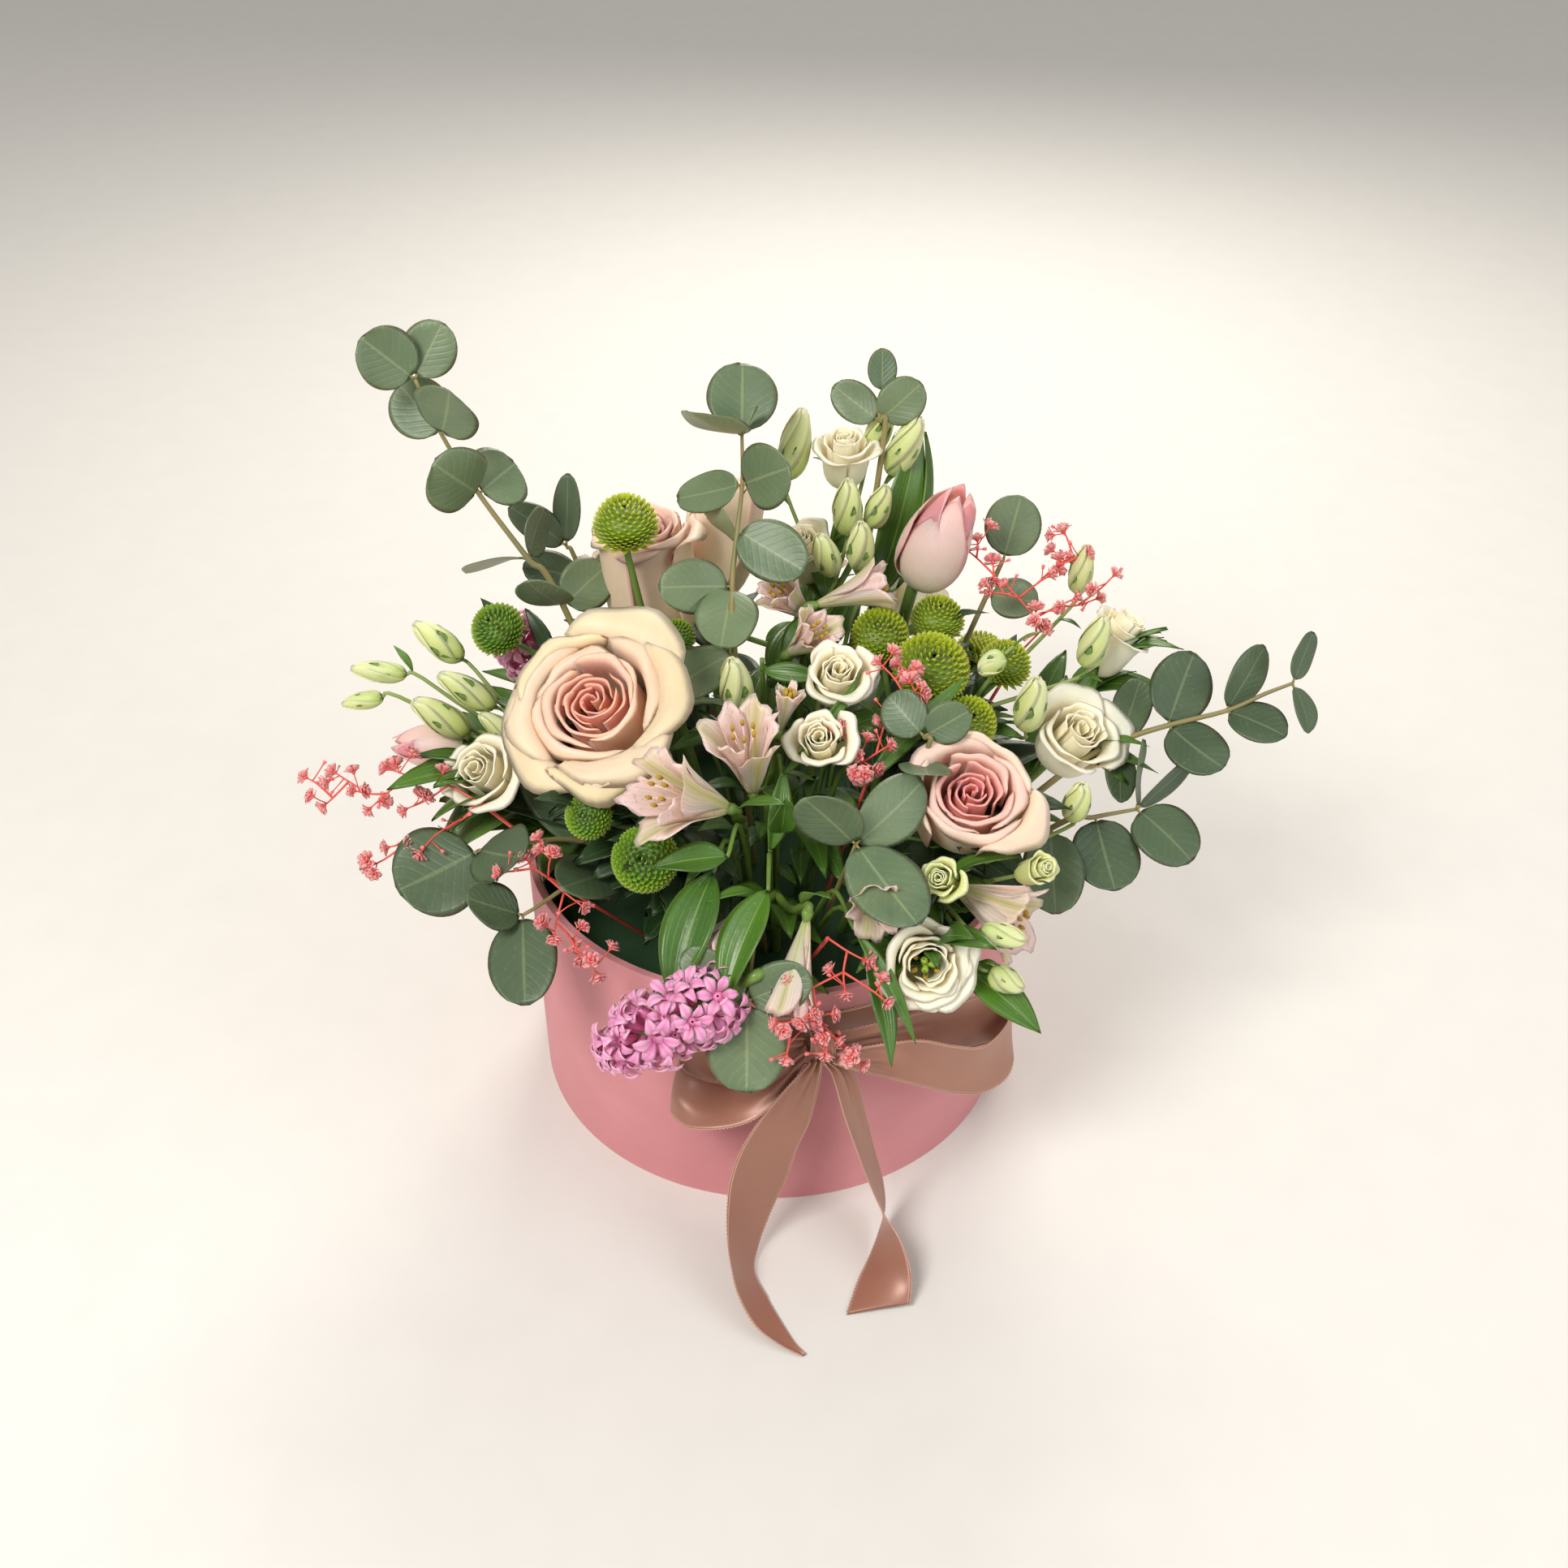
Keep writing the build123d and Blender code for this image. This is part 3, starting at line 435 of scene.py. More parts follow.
def stem_paint(name, colour, other, roughness=0.5):
    """A stem, mottled between two colours, with long fibres."""
    paint = Paint(name, roughness)
    paint.bump(paint.noise(1200, 2, (1, 1, 0.15)), 0.3, 0.0002)
    return paint.finish(paint.mix(paint.noise(60, 3), colour, other))


def velvet_paint():
    paint = Paint("velvet_pile", 0.9)
    paint.shader.inputs["Sheen Weight"].default_value = 0.55
    paint.shader.inputs["Sheen Roughness"].default_value = 0.35
    paint.shader.inputs["Sheen Tint"].default_value = srgb(255, 205, 210)
    paint.shader.inputs["Specular IOR Level"].default_value = 0.2
    lay = paint.noise(14, 3, (1, 1, 0.6))
    colour = paint.mix(lay, srgb(204, 134, 138), srgb(216, 152, 154))
    pile = paint.noise(2600, 2)
    colour = paint.mix(paint.times(pile, 0.5), colour, srgb(188, 116, 124))
    marks = paint.power(paint.noise(26, 5, (1, 1, 1.6)), 4.0)
    colour = paint.mix(marks, colour, srgb(226, 160, 168))
    height = paint.plus(pile, paint.times(paint.noise(60, 2), 1.5))
    paint.bump(height, 0.3, 0.0004)
    return paint.finish(colour)


def satin_paint():
    """Satin ribbon: fine cross threads, broad soft highlights and paler woven edges."""
    paint = Paint("satin", 0.38, Metallic=0.12)
    paint.shader.inputs["Sheen Weight"].default_value = 0.35
    paint.shader.inputs["Sheen Roughness"].default_value = 0.3
    paint.shader.inputs["Sheen Tint"].default_value = srgb(255, 226, 210)
    paint.shader.inputs["Specular IOR Level"].default_value = 0.6
    _, across, _, _ = paint.tint()
    middle = paint.from_middle(across)
    colour = paint.mix(paint.noise(30, 3), srgb(150, 102, 84), srgb(170, 120, 100))
    threads = paint.math("SINE", paint.times(across, 420.0))
    threads = paint.plus(threads, paint.times(paint.noise(900, 2), 2.0))
    colour = paint.mix(paint.times(threads, 0.06), colour, srgb(120, 76, 60))
    selvedge = paint.math("GREATER_THAN", middle, 0.93)
    colour = paint.mix(paint.times(selvedge, 0.6), colour, srgb(214, 172, 152))
    paint.bump(threads, 0.1, 0.00005)
    return paint.finish(colour)


def grainy_paint(name, colour, other, roughness, grain, depth):
    """Board, paper or foam: a fine grain in two close colours."""
    paint = Paint(name, roughness)
    coarse = paint.noise(grain, 4)
    paint.bump(coarse, 0.5, depth)
    return paint.finish(paint.mix(coarse, colour, other))


def film_paint():
    paint = Paint("film", 0.2, Transmission_Weight=0.85)
    paint.shader.inputs["IOR"].default_value = 1.3
    crinkle = paint.noise(55, 3)
    paint.bump(crinkle, 0.3, 0.001)
    return paint.finish(paint.mix(crinkle, srgb(225, 232, 230), srgb(244, 248, 247)))


LEAF_GREEN = leaf_paint(
    "leaf_glossy", srgb(78, 120, 34), srgb(38, 76, 24), srgb(104, 136, 62), srgb(140, 168, 84),
    srgb(120, 140, 70), 0.34, 9, parallel=True,
)
DARK_GREEN = leaf_paint(
    "leaf_dark", srgb(44, 72, 34), srgb(22, 44, 22), srgb(70, 96, 56), srgb(86, 112, 60),
    srgb(66, 88, 48), 0.45,
)
EUCALYPTUS_GREEN = leaf_paint(
    "eucalyptus_face", srgb(112, 130, 94), srgb(66, 92, 66), srgb(136, 152, 112), srgb(150, 162, 116),
    srgb(128, 118, 84), 0.42, 8, vein=0.05,
)
# A darker copy of the eucalyptus leaf paint: painted shade for the sprigs that stand under the others.
EUCALYPTUS_PAINTED_SHADE = leaf_paint(
    "eucalyptus_shaded", srgb(84, 104, 74), srgb(48, 70, 48), srgb(116, 132, 92), srgb(128, 142, 100),
    srgb(100, 96, 66), 0.42, 8, vein=0.05,
)
STEM_GREEN = stem_paint("stem_green", srgb(112, 140, 58), srgb(74, 104, 40))
STEM_PALE = stem_paint("stem_pale", srgb(150, 168, 96), srgb(112, 136, 66))
STEM_BROWN = stem_paint("stem_brown", srgb(150, 128, 84), srgb(116, 122, 74))
STEM_CORAL = stem_paint("stem_coral", srgb(232, 100, 88), srgb(206, 74, 66))

CREAM_ROSE = petal_paint(
    "rose_cream", srgb(228, 212, 140),
    [
        (0.0, srgb(252, 134, 128)), (0.35, srgb(254, 168, 156)), (0.6, srgb(252, 200, 180)),
        (0.8, srgb(247, 210, 178)), (1.0, srgb(240, 206, 164)),
    ],
    srgb(236, 218, 158), 0.1,
)
PEACH_ROSE = petal_paint(
    "rose_peach", srgb(238, 212, 160),
    [
        (0.0, srgb(244, 112, 124)), (0.4, srgb(252, 156, 154)), (0.7, srgb(253, 200, 184)),
        (1.0, srgb(253, 212, 184)),
    ],
    srgb(253, 220, 198), 0.1,
)
WHITE_PETAL = petal_paint(
    "eustoma_white", srgb(244, 236, 176),
    [(0.0, srgb(255, 242, 198)), (0.5, srgb(255, 243, 208)), (1.0, srgb(255, 244, 214))],
    srgb(255, 247, 222), 0.03,
)
BUD_PETAL = petal_paint(
    "eustoma_bud", srgb(168, 190, 84),
    [(0.0, srgb(238, 236, 176)), (1.0, srgb(226, 228, 150))],
    srgb(244, 240, 200), 0.25,
)
SANTINI_PETAL = petal_paint(
    "santini", srgb(44, 88, 10),
    [(0.0, srgb(112, 158, 20)), (0.4, srgb(118, 172, 24)), (1.0, srgb(88, 146, 18))],
    srgb(184, 214, 78), 0.05,
)
SANTINI_LIME = petal_paint(
    "santini_lime", srgb(84, 110, 6),
    [(0.0, srgb(156, 180, 14)), (0.4, srgb(176, 198, 18)), (1.0, srgb(146, 176, 12))],
    srgb(214, 226, 72), 0.05,
)
ALSTROEMERIA_PETAL = petal_paint(
    "alstroemeria", srgb(196, 190, 110),
    [(0.0, srgb(248, 206, 202)), (0.6, srgb(248, 210, 206)), (1.0, srgb(246, 214, 204))],
    srgb(244, 190, 192), 0.18, streaks=0.3,
)
ALSTROEMERIA_OUTER = petal_paint(
    "alstroemeria_outer", srgb(150, 164, 74),
    [(0.0, srgb(248, 208, 202)), (1.0, srgb(248, 214, 204))],
    srgb(238, 184, 180), 0.25, stripe=srgb(168, 170, 90),
)
HYACINTH_PETAL = petal_paint(
    "hyacinth", srgb(222, 112, 168),
    [(0.0, srgb(250, 156, 198)), (1.0, srgb(254, 190, 216))],
    srgb(255, 214, 228), 0.15, stripe=srgb(236, 116, 172),
)
TULIP_PETAL = petal_paint(
    "tulip", srgb(220, 214, 180),
    [(0.0, srgb(226, 120, 140)), (0.5, srgb(238, 176, 178)), (1.0, srgb(240, 190, 184))],
    srgb(222, 104, 124), 0.2,
)
CORAL_PETAL = petal_paint(
    "gypsophila", srgb(236, 92, 98),
    [(0.0, srgb(252, 116, 122)), (1.0, srgb(255, 160, 156))],
    srgb(255, 206, 198), 0.08,
)
ANTHER = grainy_paint("anther", srgb(196, 168, 50), srgb(158, 120, 40), 0.7, 2500, 0.0002)
PISTIL = grainy_paint("pistil", srgb(150, 176, 60), srgb(120, 150, 50), 0.5, 900, 0.0002)
SATIN = satin_paint()


# ---- Petals, leaves and stems -------------------------------------------------------------------
def head_base(centre, facing, depth):
    return vec(centre) - unit(facing) * depth / 2


def standing(base, facing, local):
    """Points given as (across, across, along the axis) put where the head stands."""
    x, y, z = axes_about(facing)
    return base + local[..., :1] * x + local[..., 1:2] * y + local[..., 2:] * z


def wrap(shape, base, facing, profile, span, bearing, shade, vary, slot, **form):
    """One petal wrapped about its head's axis. The profile, in (radius, height), is its middle
    line from foot to tip; span is how far round it reaches."""
    rows, columns = form.get("rows", 10), form.get("columns", 11)
    u = np.linspace(0, 1, rows)[:, None]
    v = np.linspace(-1, 1, columns)[None, :]
    phase = vary * 40
    notch = form.get("point", 0.0) * (1 - np.abs(v)) ** 1.5
    reach = 1 - form.get("rounding", 0.25) * np.abs(v) ** form.get("power", 2.5) + notch
    along = bezier(profile, u * reach / max(1.0, 1 + form.get("point", 0.0)))
    radius, height = along[..., 0], along[..., 1]
    foot = form.get("foot", 0.45)
    width = foot + (1 - foot) * ease(u / form.get("widest", 0.55))
    width = width * (1 - form.get("taper", 0.0) * ease((u - 0.5) * 2) ** 2)
    bearing = bearing + form.get("twist", 0.0) * u
    angle = bearing + v * span / 2 * width
    radius = radius + form.get("tuck", 0.0) * v * (0.3 + 0.7 * u)
    wave = np.sin(v * form.get("waves", 2.5) * 3.1 + phase) + 0.5 * np.sin(v * 9.7 + phase * 2)
    ruffle = form.get("ruffle", 0.0) * u**3 * wave
    lip = form.get("lip", 0.0) * np.maximum(u**6, np.abs(v) ** 6 * u)
    radius = np.maximum(radius + ruffle + lip, 0.05)
    height = height + 0.6 * ruffle * np.cos(v * 5 + phase) - 0.35 * lip
    local = np.stack([radius * np.cos(angle), radius * np.sin(angle), height], axis=-1)
    grid = standing(base, facing, local)
    shape.petal(grid, tint_grid(rows, columns, shade, vary), form.get("thickness", 0.4), slot)


def blade(shape, root, along, normal, length, width, slot, rng, **form):
    """A leaf from its root: round or pointed, folded at its midrib, arched and waved."""
    rows, columns = form.get("rows", 13), form.get("columns", 9)
    along = unit(along)
    side = unit(np.cross(normal, along))
    face = np.cross(along, side)
    u = np.linspace(0.004, 0.996, rows)[:, None]
    v = np.linspace(-1, 1, columns)[None, :]
    if form.get("pointed", True):
        outline = (np.sin(math.pi * u ** form.get("widest", 0.85))) ** form.get("fullness", 0.9)
    else:
        outline = np.sqrt(np.maximum(1 - (2 * u - 1) ** 2, 0.006)) * (1 + 0.06 * (0.5 - u))
    phase = rng.uniform(0, 6)
    half = width / 2 * np.maximum(outline, 0.03)
    bend = form.get("arch", 0.15) * length * (1 - (2 * u - 1) ** 2)
    bend = bend - form.get("droop", 0.0) * length * u**2
    fold = form.get("fold", 0.25) * half * np.abs(v) ** 1.3
    wave = form.get("wave", 0.03) * width * v**2 * np.sin(u * 7 + phase + v)
    twist = form.get("twist", 0.0) * u
    across = half * v * np.cos(twist)
    lift = bend + fold + wave + half * v * np.sin(twist)
    grid = vec(root) + along * (u * length)[..., None] + side * across[..., None] + face * lift[..., None]
    tints = tint_grid(rows, columns, form.get("shade", 0.5), rng.random())
    shape.petal(grid, tints, form.get("thickness", 0.5), slot)


def stem_leaves(shape, path, count, length, slot, rng, width=0.3, low=0.35, high=0.9, flat=0.0):
    """Leaves that grow from a stem, between two shares of its length, outwards and upwards; the
    flat ones reach out more than up."""
    for i in range(count):
        share = low + (high - low) * (i + rng.random()) / max(count, 1)
        root = path[min(int(share * len(path)), len(path) - 1)]
        bearing = math.atan2(root[1], root[0]) + rng.uniform(-1.3, 1.3)
        rise = rng.uniform(0.25, 1.1 - flat)
        along = unit((math.cos(bearing), math.sin(bearing), rise))
        normal = unit((-math.cos(bearing) * rise, -math.sin(bearing) * rise, 1))
        size = length * rng.uniform(0.7, 1.15)
        blade(
            shape, root, along, normal, size, size * width, slot, rng,
            arch=0.1, droop=rng.uniform(0, 0.35), wave=0.08, rows=10, columns=7, twist=rng.uniform(-0.6, 0.6),
        )


FOAM_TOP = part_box("floral_foam")[1].z / MM
STEM_DEPTH, STEM_SPREAD, NECK, LEAF_STALK = 22.0, 0.45, 10.0, 1.6
HUB_REACH, HUB_RISE = 0.45, 0.8


def foot_of(place):
    """Where the stem of something at this place ends, inside the foam."""
    return vec((place[0] * STEM_SPREAD, place[1] * STEM_SPREAD, FOAM_TOP - STEM_DEPTH))


def single_stem(shape, base, facing, radius, slot):
    axis = unit(facing)
    elbow = base - axis * NECK
    path = smooth([foot_of(base), elbow, base], 16)
    shape.tube(path, np.linspace(radius, radius * 0.85, 16), slot, sides=9)
    return path


# ---- Flower heads --------------------------------------------------------------------------------
def rose(shape, base, facing, radius, depth, rng, petals=26, opening=1.0):
    """A rose in spiralled layers: a rolled heart in a deep cup whose outer petals stand up, turn
    over at their rims and come to a soft point."""
    for i in range(petals):
        t = i / (petals - 1)
        outer = float(ease((t - 0.35) / 0.5))
        rim = radius * (0.05 + 0.75 * t**0.85) * rng.uniform(0.94, 1.06)
        height = depth * (0.9 + 0.08 * outer) * rng.uniform(0.95, 1.02)
        flare = radius * 0.34 * outer * opening * rng.uniform(0.15, 1.25)
        drop = depth * 0.16 * outer * opening * rng.uniform(0.1, 1.3)
        profile = [
            (radius * (0.08 + 0.1 * t), depth * 0.02),
            (rim * 0.9 + radius * 0.3 * t, depth * 0.04),
            (rim * 1.12 + radius * 0.1 * t, height * 0.42),
            (rim * 1.08, height * 0.8),
            (rim * (0.84 + 0.1 * outer), height * 1.02),
            (rim + flare * 0.8, height * 1.1),
            (rim + flare * 1.5, height * 1.02 - drop),
        ]
        wrap(
            shape, base, facing, profile, math.radians(rng.uniform(150, 195) - 62 * t),
            GOLDEN * i + rng.uniform(-0.35, 0.35), t, rng.random(), 0, rows=17, columns=19,
            rounding=0.12 + 0.16 * t, power=2.4, tuck=radius * 0.06 * (1 - 0.4 * t), waves=1.3,
            ruffle=radius * 0.035 * (0.3 + t), lip=radius * (0.02 + 0.1 * outer), foot=0.5,
            point=0.07 * outer, thickness=0.6,
        )


def sepals(shape, base, facing, radius, depth, count, slot, rng, share=0.5):
    """Narrow green sepals that lie against the underside of a head."""
    for i in range(count):
        bearing = 2 * math.pi * i / count + rng.uniform(-0.2, 0.2)
        height = depth * share * rng.uniform(0.8, 1.1)
        profile = [
            (radius * 0.15, -0.5), (radius * 0.8, 0.05 * depth), (radius * 1.12, height * 0.6),
            (radius * 1.05, height),
        ]
        wrap(
            shape, base, facing, profile, 0.9, bearing, 0.5, rng.random(), slot,
            rows=7, columns=5, rounding=0.0, foot=0.8, taper=0.93, thickness=0.4,
        )


def eustoma(shape, base, facing, radius, depth, rng, heart=0.0, petals=14):
    """A lisianthus: broad, thin, waved petals; an open heart shows its pistil and stamens."""
    for i in range(petals):
        t = heart + (1 - heart) * i / (petals - 1)
        outer = float(ease((t - 0.45) / 0.55))
        rim = radius * (0.08 + 0.54 * t) * rng.uniform(0.93, 1.07)
        height = depth * (0.98 - 0.2 * outer) * rng.uniform(0.94, 1.05)
        flare = radius * (0.05 + 0.36 * outer) * rng.uniform(0.6, 1.3)
        profile = [
            (radius * (0.1 + 0.08 * t), 0.0),
            (rim * 0.9 + radius * 0.3 * t, depth * 0.03),
            (rim * 1.2, height * 0.45),
            (rim * 1.04, height * 0.85),
            (rim * 0.94 + flare * 0.6, height * 1.06),
            (rim + flare * 1.3, height * 1.0),
        ]
        wrap(
            shape, base, facing, profile, math.radians(rng.uniform(160, 190) - 50 * t),
            GOLDEN * i + rng.uniform(-0.35, 0.35), t, rng.random(), 0, rows=14, columns=21, rounding=0.16,
            power=2.6, tuck=radius * 0.04, ruffle=radius * 0.05 * (0.25 + t), waves=1.5, foot=0.5,
            thickness=0.4,
        )
    if heart:
        x, y, z = axes_about(facing)
        pistil = [base + z * depth * share for share in (0.2, 0.5, 0.68)]
        shape.tube(pistil, [2.4, 1.6, 1.1], 2)
        for i in range(3):
            turn = i * 2.1
            tip = base + z * depth * 0.8 + (x * math.cos(turn) + y * math.sin(turn)) * 2.4
            shape.tube([base + z * depth * 0.66, tip], [0.8, 1.3], 2)
        for i in range(6):
            turn = i * 1.05 + 0.4
            out = x * math.cos(turn) + y * math.sin(turn)
            tip = base + z * depth * 0.66 + out * radius * 0.27
            shape.tube([base + z * depth * 0.3 + out, tip], 0.3, 2, sides=5)
            shape.tube([tip - out * 1.1, tip, tip + out * 1.3], [0.7, 1.0, 0.6], 3, sides=6)


def bud(shape, base, facing, radius, depth, rng):
    """A closed bud of twisted petals in thin sepals."""
    turn = rng.uniform(0, 6)
    for i in range(5):
        profile = [
            (radius * 0.3, 0), (radius * 1.05, depth * 0.1), (radius * 1.25, depth * 0.42),
            (radius * 0.72, depth * 0.78), (radius * 0.12, depth * 1.0),
        ]
        wrap(
            shape, base, facing, profile, math.radians(118), turn + i * 2 * math.pi / 5, i / 4,
            rng.random(), 0, rows=11, columns=7, rounding=0.07, tuck=radius * 0.16, twist=1.5, foot=0.9,
            thickness=0.5, lip=radius * 0.05,
        )
    sepals(shape, base, facing, radius * 0.95, depth, 5, 1, rng, share=0.62)


def santini(shape, base, facing, radius, depth, rng):
    """A green button chrysanthemum: a low dome of small quilled petals packed in a spiral, the
    outer ones longer, over a skirt of darker ones."""
    x, y, z = axes_about(facing)
    count = int(110 + radius * 9)
    core = base + z * depth * 0.1
    for i in range(count):
        t = (i + 0.5) / count
        polar = math.radians(104) * t**0.58
        turn = GOLDEN * i
        out = x * math.cos(turn) + y * math.sin(turn)
        way = unit(out * math.sin(polar) + z * math.cos(polar))
        tip = core + out * radius * 0.97 * math.sin(polar) + z * depth * (0.72 * math.cos(polar) + 0.06)
        size = radius * (0.14 + 0.34 * t) + 0.8
        rise = unit(z * 0.9 + way * 0.1)
        blade(
            shape, tip - way * size, way + rise * 0.45 * t, rise - out * 0.2, size,
            radius * (0.08 + 0.1 * t) + 0.45, 0, rng, rows=6, columns=4, pointed=False, arch=-0.16,
            fold=0.5, wave=0, thickness=0.3, shade=t,
        )
    for ring in range(2):
        for i in range(16):
            turn = i * 2 * math.pi / 16 + ring * 0.2
            out = x * math.cos(turn) + y * math.sin(turn)
            root = base + out * radius * 0.15 - z * 0.3
            way = out + z * (0.05 + 0.2 * ring)
            blade(
                shape, root, way, z, radius * 0.8, radius * 0.26, 0, rng, rows=6, columns=4, arch=-0.1,
                fold=0.3, shade=0.9,
            )
    hull = [(0.2, 0.0), (0.6, 0.06), (0.76, 0.34), (0.56, 0.56), (0.05, 0.68)]
    dome(shape, base, facing, [(r * radius, h * depth) for r, h in hull], 0)


def dome(shape, base, facing, outline, slot):
    """A closed turned core under packed florets, which shows only as dark gaps."""
    turn = np.linspace(0, 2 * math.pi, 15)[None, :]
    line = smooth([(r, 0, h) for r, h in outline], 9)
    radius, height = line[:, :1], line[:, 2:]
    local = np.stack([radius * np.cos(turn), radius * np.sin(turn), height + 0 * turn], axis=-1)
    grid = standing(base, facing, local)
    tints = tint_grid(9, 15, 0.5, 0.3)
    tints[..., 0] = 0.1
    shape.petal(grid, tints, 0.3, slot)


def alstroemeria(shape, base, facing, radius, depth, rng):
    """A half-open lily: three broad green-veined petals outside, three streaked ones inside,
    and curved stamens."""
    turn = rng.uniform(0, 6)
    for i in range(6):
        outer = i % 2 == 0
        lean = rng.uniform(0.85, 1.1)
        top = radius * lean * (1.0 if outer else 0.85)
        height = depth * rng.uniform(0.92, 1.04) * (0.97 if outer else 1.03)
        profile = [
            (radius * 0.12, 0), (radius * 0.28, height * 0.2), (radius * 0.5, height * 0.5),
            (top * 0.72, height * 0.8), (top * 1.12, height),
        ]
        wrap(
            shape, base, facing, profile, math.radians(128 if outer else 96), turn + i * math.pi / 3,
            0.9 if outer else 0.2, rng.random(), 1 if outer else 0, rows=14, columns=13, foot=0.5, taper=0.2,
            rounding=0.22, power=2.4, ruffle=radius * 0.1, lip=radius * 0.08, point=0.05, widest=0.8,
            thickness=0.4, tuck=radius * (0.08 if outer else -0.05),
        )
    x, y, z = axes_about(facing)
    for i in range(6):
        out = x * math.cos(i * 1.05) + y * math.sin(i * 1.05)
        path = smooth([base, base + z * depth * 0.5 + out, base + z * depth * 0.86 + out * radius * 0.33], 6)
        shape.tube(path, 0.35, 0, sides=5)
        shape.tube([path[-1] - z, path[-1] + z * 0.5, path[-1] + z * 1.8], [0.5, 0.9, 0.5], 3, sides=6)
    shape.tube([base - z * 5, base - z * 2, base + z * 1.5], [1.2, 2.3, radius * 0.14], 2)


def hyacinth(shape, base, facing, radius, depth, rng):
    """A thick spike of bell florets whose narrow petals curl back."""
    x, y, z = axes_about(facing)
    count = int(depth * 0.8)
    shape.tube([base, base + z * depth * 0.75], [3.0, 1.6], 1)
    for i in range(count):
        t = (i + 0.5) / count
        turn = GOLDEN * i
        out = x * math.cos(turn) + y * math.sin(turn)
        girth = math.sin(math.pi * (0.2 + 0.62 * t)) ** 0.6
        centre = base + z * (depth * (0.12 + 0.68 * t))
        stray = vec([rng.uniform(-0.22, 0.22) for _ in "xyz"])
        way = unit(out * (1.05 - t**2 * 0.6) + z * (t**2 * 1.2 - 0.15) + stray)
        mouth = centre + way * radius * rng.uniform(0.48, 0.6) * girth
        shape.tube([centre, centre + way * radius * 0.3 * girth, mouth], [1.0, 1.9, 2.2], 0, sides=8)
        bell(shape, mouth - way * 2, way, radius * rng.uniform(0.34, 0.44), rng)


def bell(shape, base, facing, radius, rng):
    """One floret: six narrow petals that rise from a tube and roll back at their tips."""
    for i in range(6):
        bearing = math.pi * i / 3 + rng.uniform(-0.2, 0.2)
        tip = radius * rng.uniform(0.85, 1.15)
        rise = radius * rng.uniform(0.55, 0.8)
        profile = [
            (1.6, 0), (0.25 * radius, rise * 0.9), (0.7 * tip, rise * 1.3),
            (tip, rise * rng.uniform(0.1, 0.8)),
        ]
        wrap(
            shape, base, facing, profile, 0.98, bearing, rng.random(), rng.random(), 0, rows=8, columns=5,
            foot=0.9, taper=0.75, rounding=0.1, thickness=0.35, widest=0.3, tuck=-0.35, lip=-0.4,
        )


def tulip(shape, base, facing, radius, depth, rng):
    """A closed tulip: three petals outside and three inside, drawn to a point."""
    turn = rng.uniform(0, 6)
    for i in range(6):
        outer = i % 2 == 0
        swell = 1.0 if outer else 0.86
        profile = [
            (radius * 0.25, 0), (radius * 1.1 * swell, depth * 0.03), (radius * 1.22 * swell, depth * 0.4),
            (radius * 0.9 * swell, depth * 0.75), (radius * 0.22, depth * (0.98 if outer else 1.03)),
        ]
        wrap(
            shape, base, facing, profile, math.radians(136), turn + i * math.pi / 3, 0.95 if outer else 0.1,
            rng.random(), 0, rows=14, columns=11, foot=0.6, taper=0.5, rounding=0.1, tuck=radius * 0.09,
            lip=radius * 0.05, thickness=0.7, point=0.03,
        )


def pompon(shape, base, facing, rng):
    """A gypsophila floret: rings of frilled petals in a small cup."""
    size = rng.uniform(1.05, 1.4)
    for ring, (count, spread, rise) in enumerate(((6, 2.9, 1.4), (6, 2.3, 2.3), (4, 1.2, 2.9))):
        for i in range(count):
            bearing = 2 * math.pi * i / count + ring + rng.uniform(-0.3, 0.3)
            reach = spread * size * rng.uniform(0.8, 1.1)
            top = rise * size * rng.uniform(0.85, 1.1)
            profile = [(0.2, 0), (reach * 0.5, top * 0.4), (reach * 0.9, top), (reach, top * 0.95)]
            wrap(
                shape, base, facing, profile, 6.4 / count, bearing, rng.random(), rng.random(), 0,
                rows=4, columns=5, ruffle=0.35, waves=3, rounding=0.15, foot=0.4, thickness=0.25,
            )
    shape.tube([base - unit(facing) * 0.6, base, base + unit(facing) * 1.2], [0.4, 0.8, 1.1], 1, sides=6)


# ---- Where everything grows, as in the part's own source -------------------------------------------
# One head on one stem: (kind, stem radius, middle, facing, radius, depth).
SINGLE_FLOWERS = {
    "rose_front_left": (rose, 3.0, (-66, -26, 187), (-0.35, -0.45, 0.8), 33, 50),
    "rose_right": (rose, 3.0, (81, -46, 166), (0.35, -0.3, 0.85), 25, 46),
    "rose_back_left": (rose, 3.0, (-51, 62, 192), (-0.1, 0, 1), 22, 58),
    "rose_back_middle": (rose, 3.0, (-21, 90, 198), (0.2, 0.5, 1), 18, 50),
    "eustoma_left": (eustoma, 1.6, (-111, -20, 154), (-0.35, -0.5, 0.75), 18, 20),
    "eustoma_front": (eustoma, 1.6, (56, -102, 131), (0.1, -0.8, 0.55), 17.5, 20),
    "eustoma_right": (eustoma, 1.6, (119, -2, 158), (0.3, -0.4, 0.8), 20, 24),
    "eustoma_back_right": (eustoma, 1.6, (138, 35, 180), (0.5, 0, 0.85), 14, 28),
    "hyacinth_front": (hyacinth, 2.5, (-36, -124, 123), (-0.9, -0.4, -0.25), 21, 56),
    "hyacinth_left": (hyacinth, 3.5, (-103, 54, 165), (-0.5, -0.1, 0.8), 17, 40),
    "tulip_back": (tulip, 2.8, (68, 58, 216), (0.35, 0, 0.95), 14, 46),
    "tulip_left": (tulip, 2.4, (-136, 2, 152), (-0.95, -0.1, 0.15), 9, 30),
    "santini_tall": (santini, 1.5, (-56, 35, 239), (0, -0.1, 1), 14, 20),
}

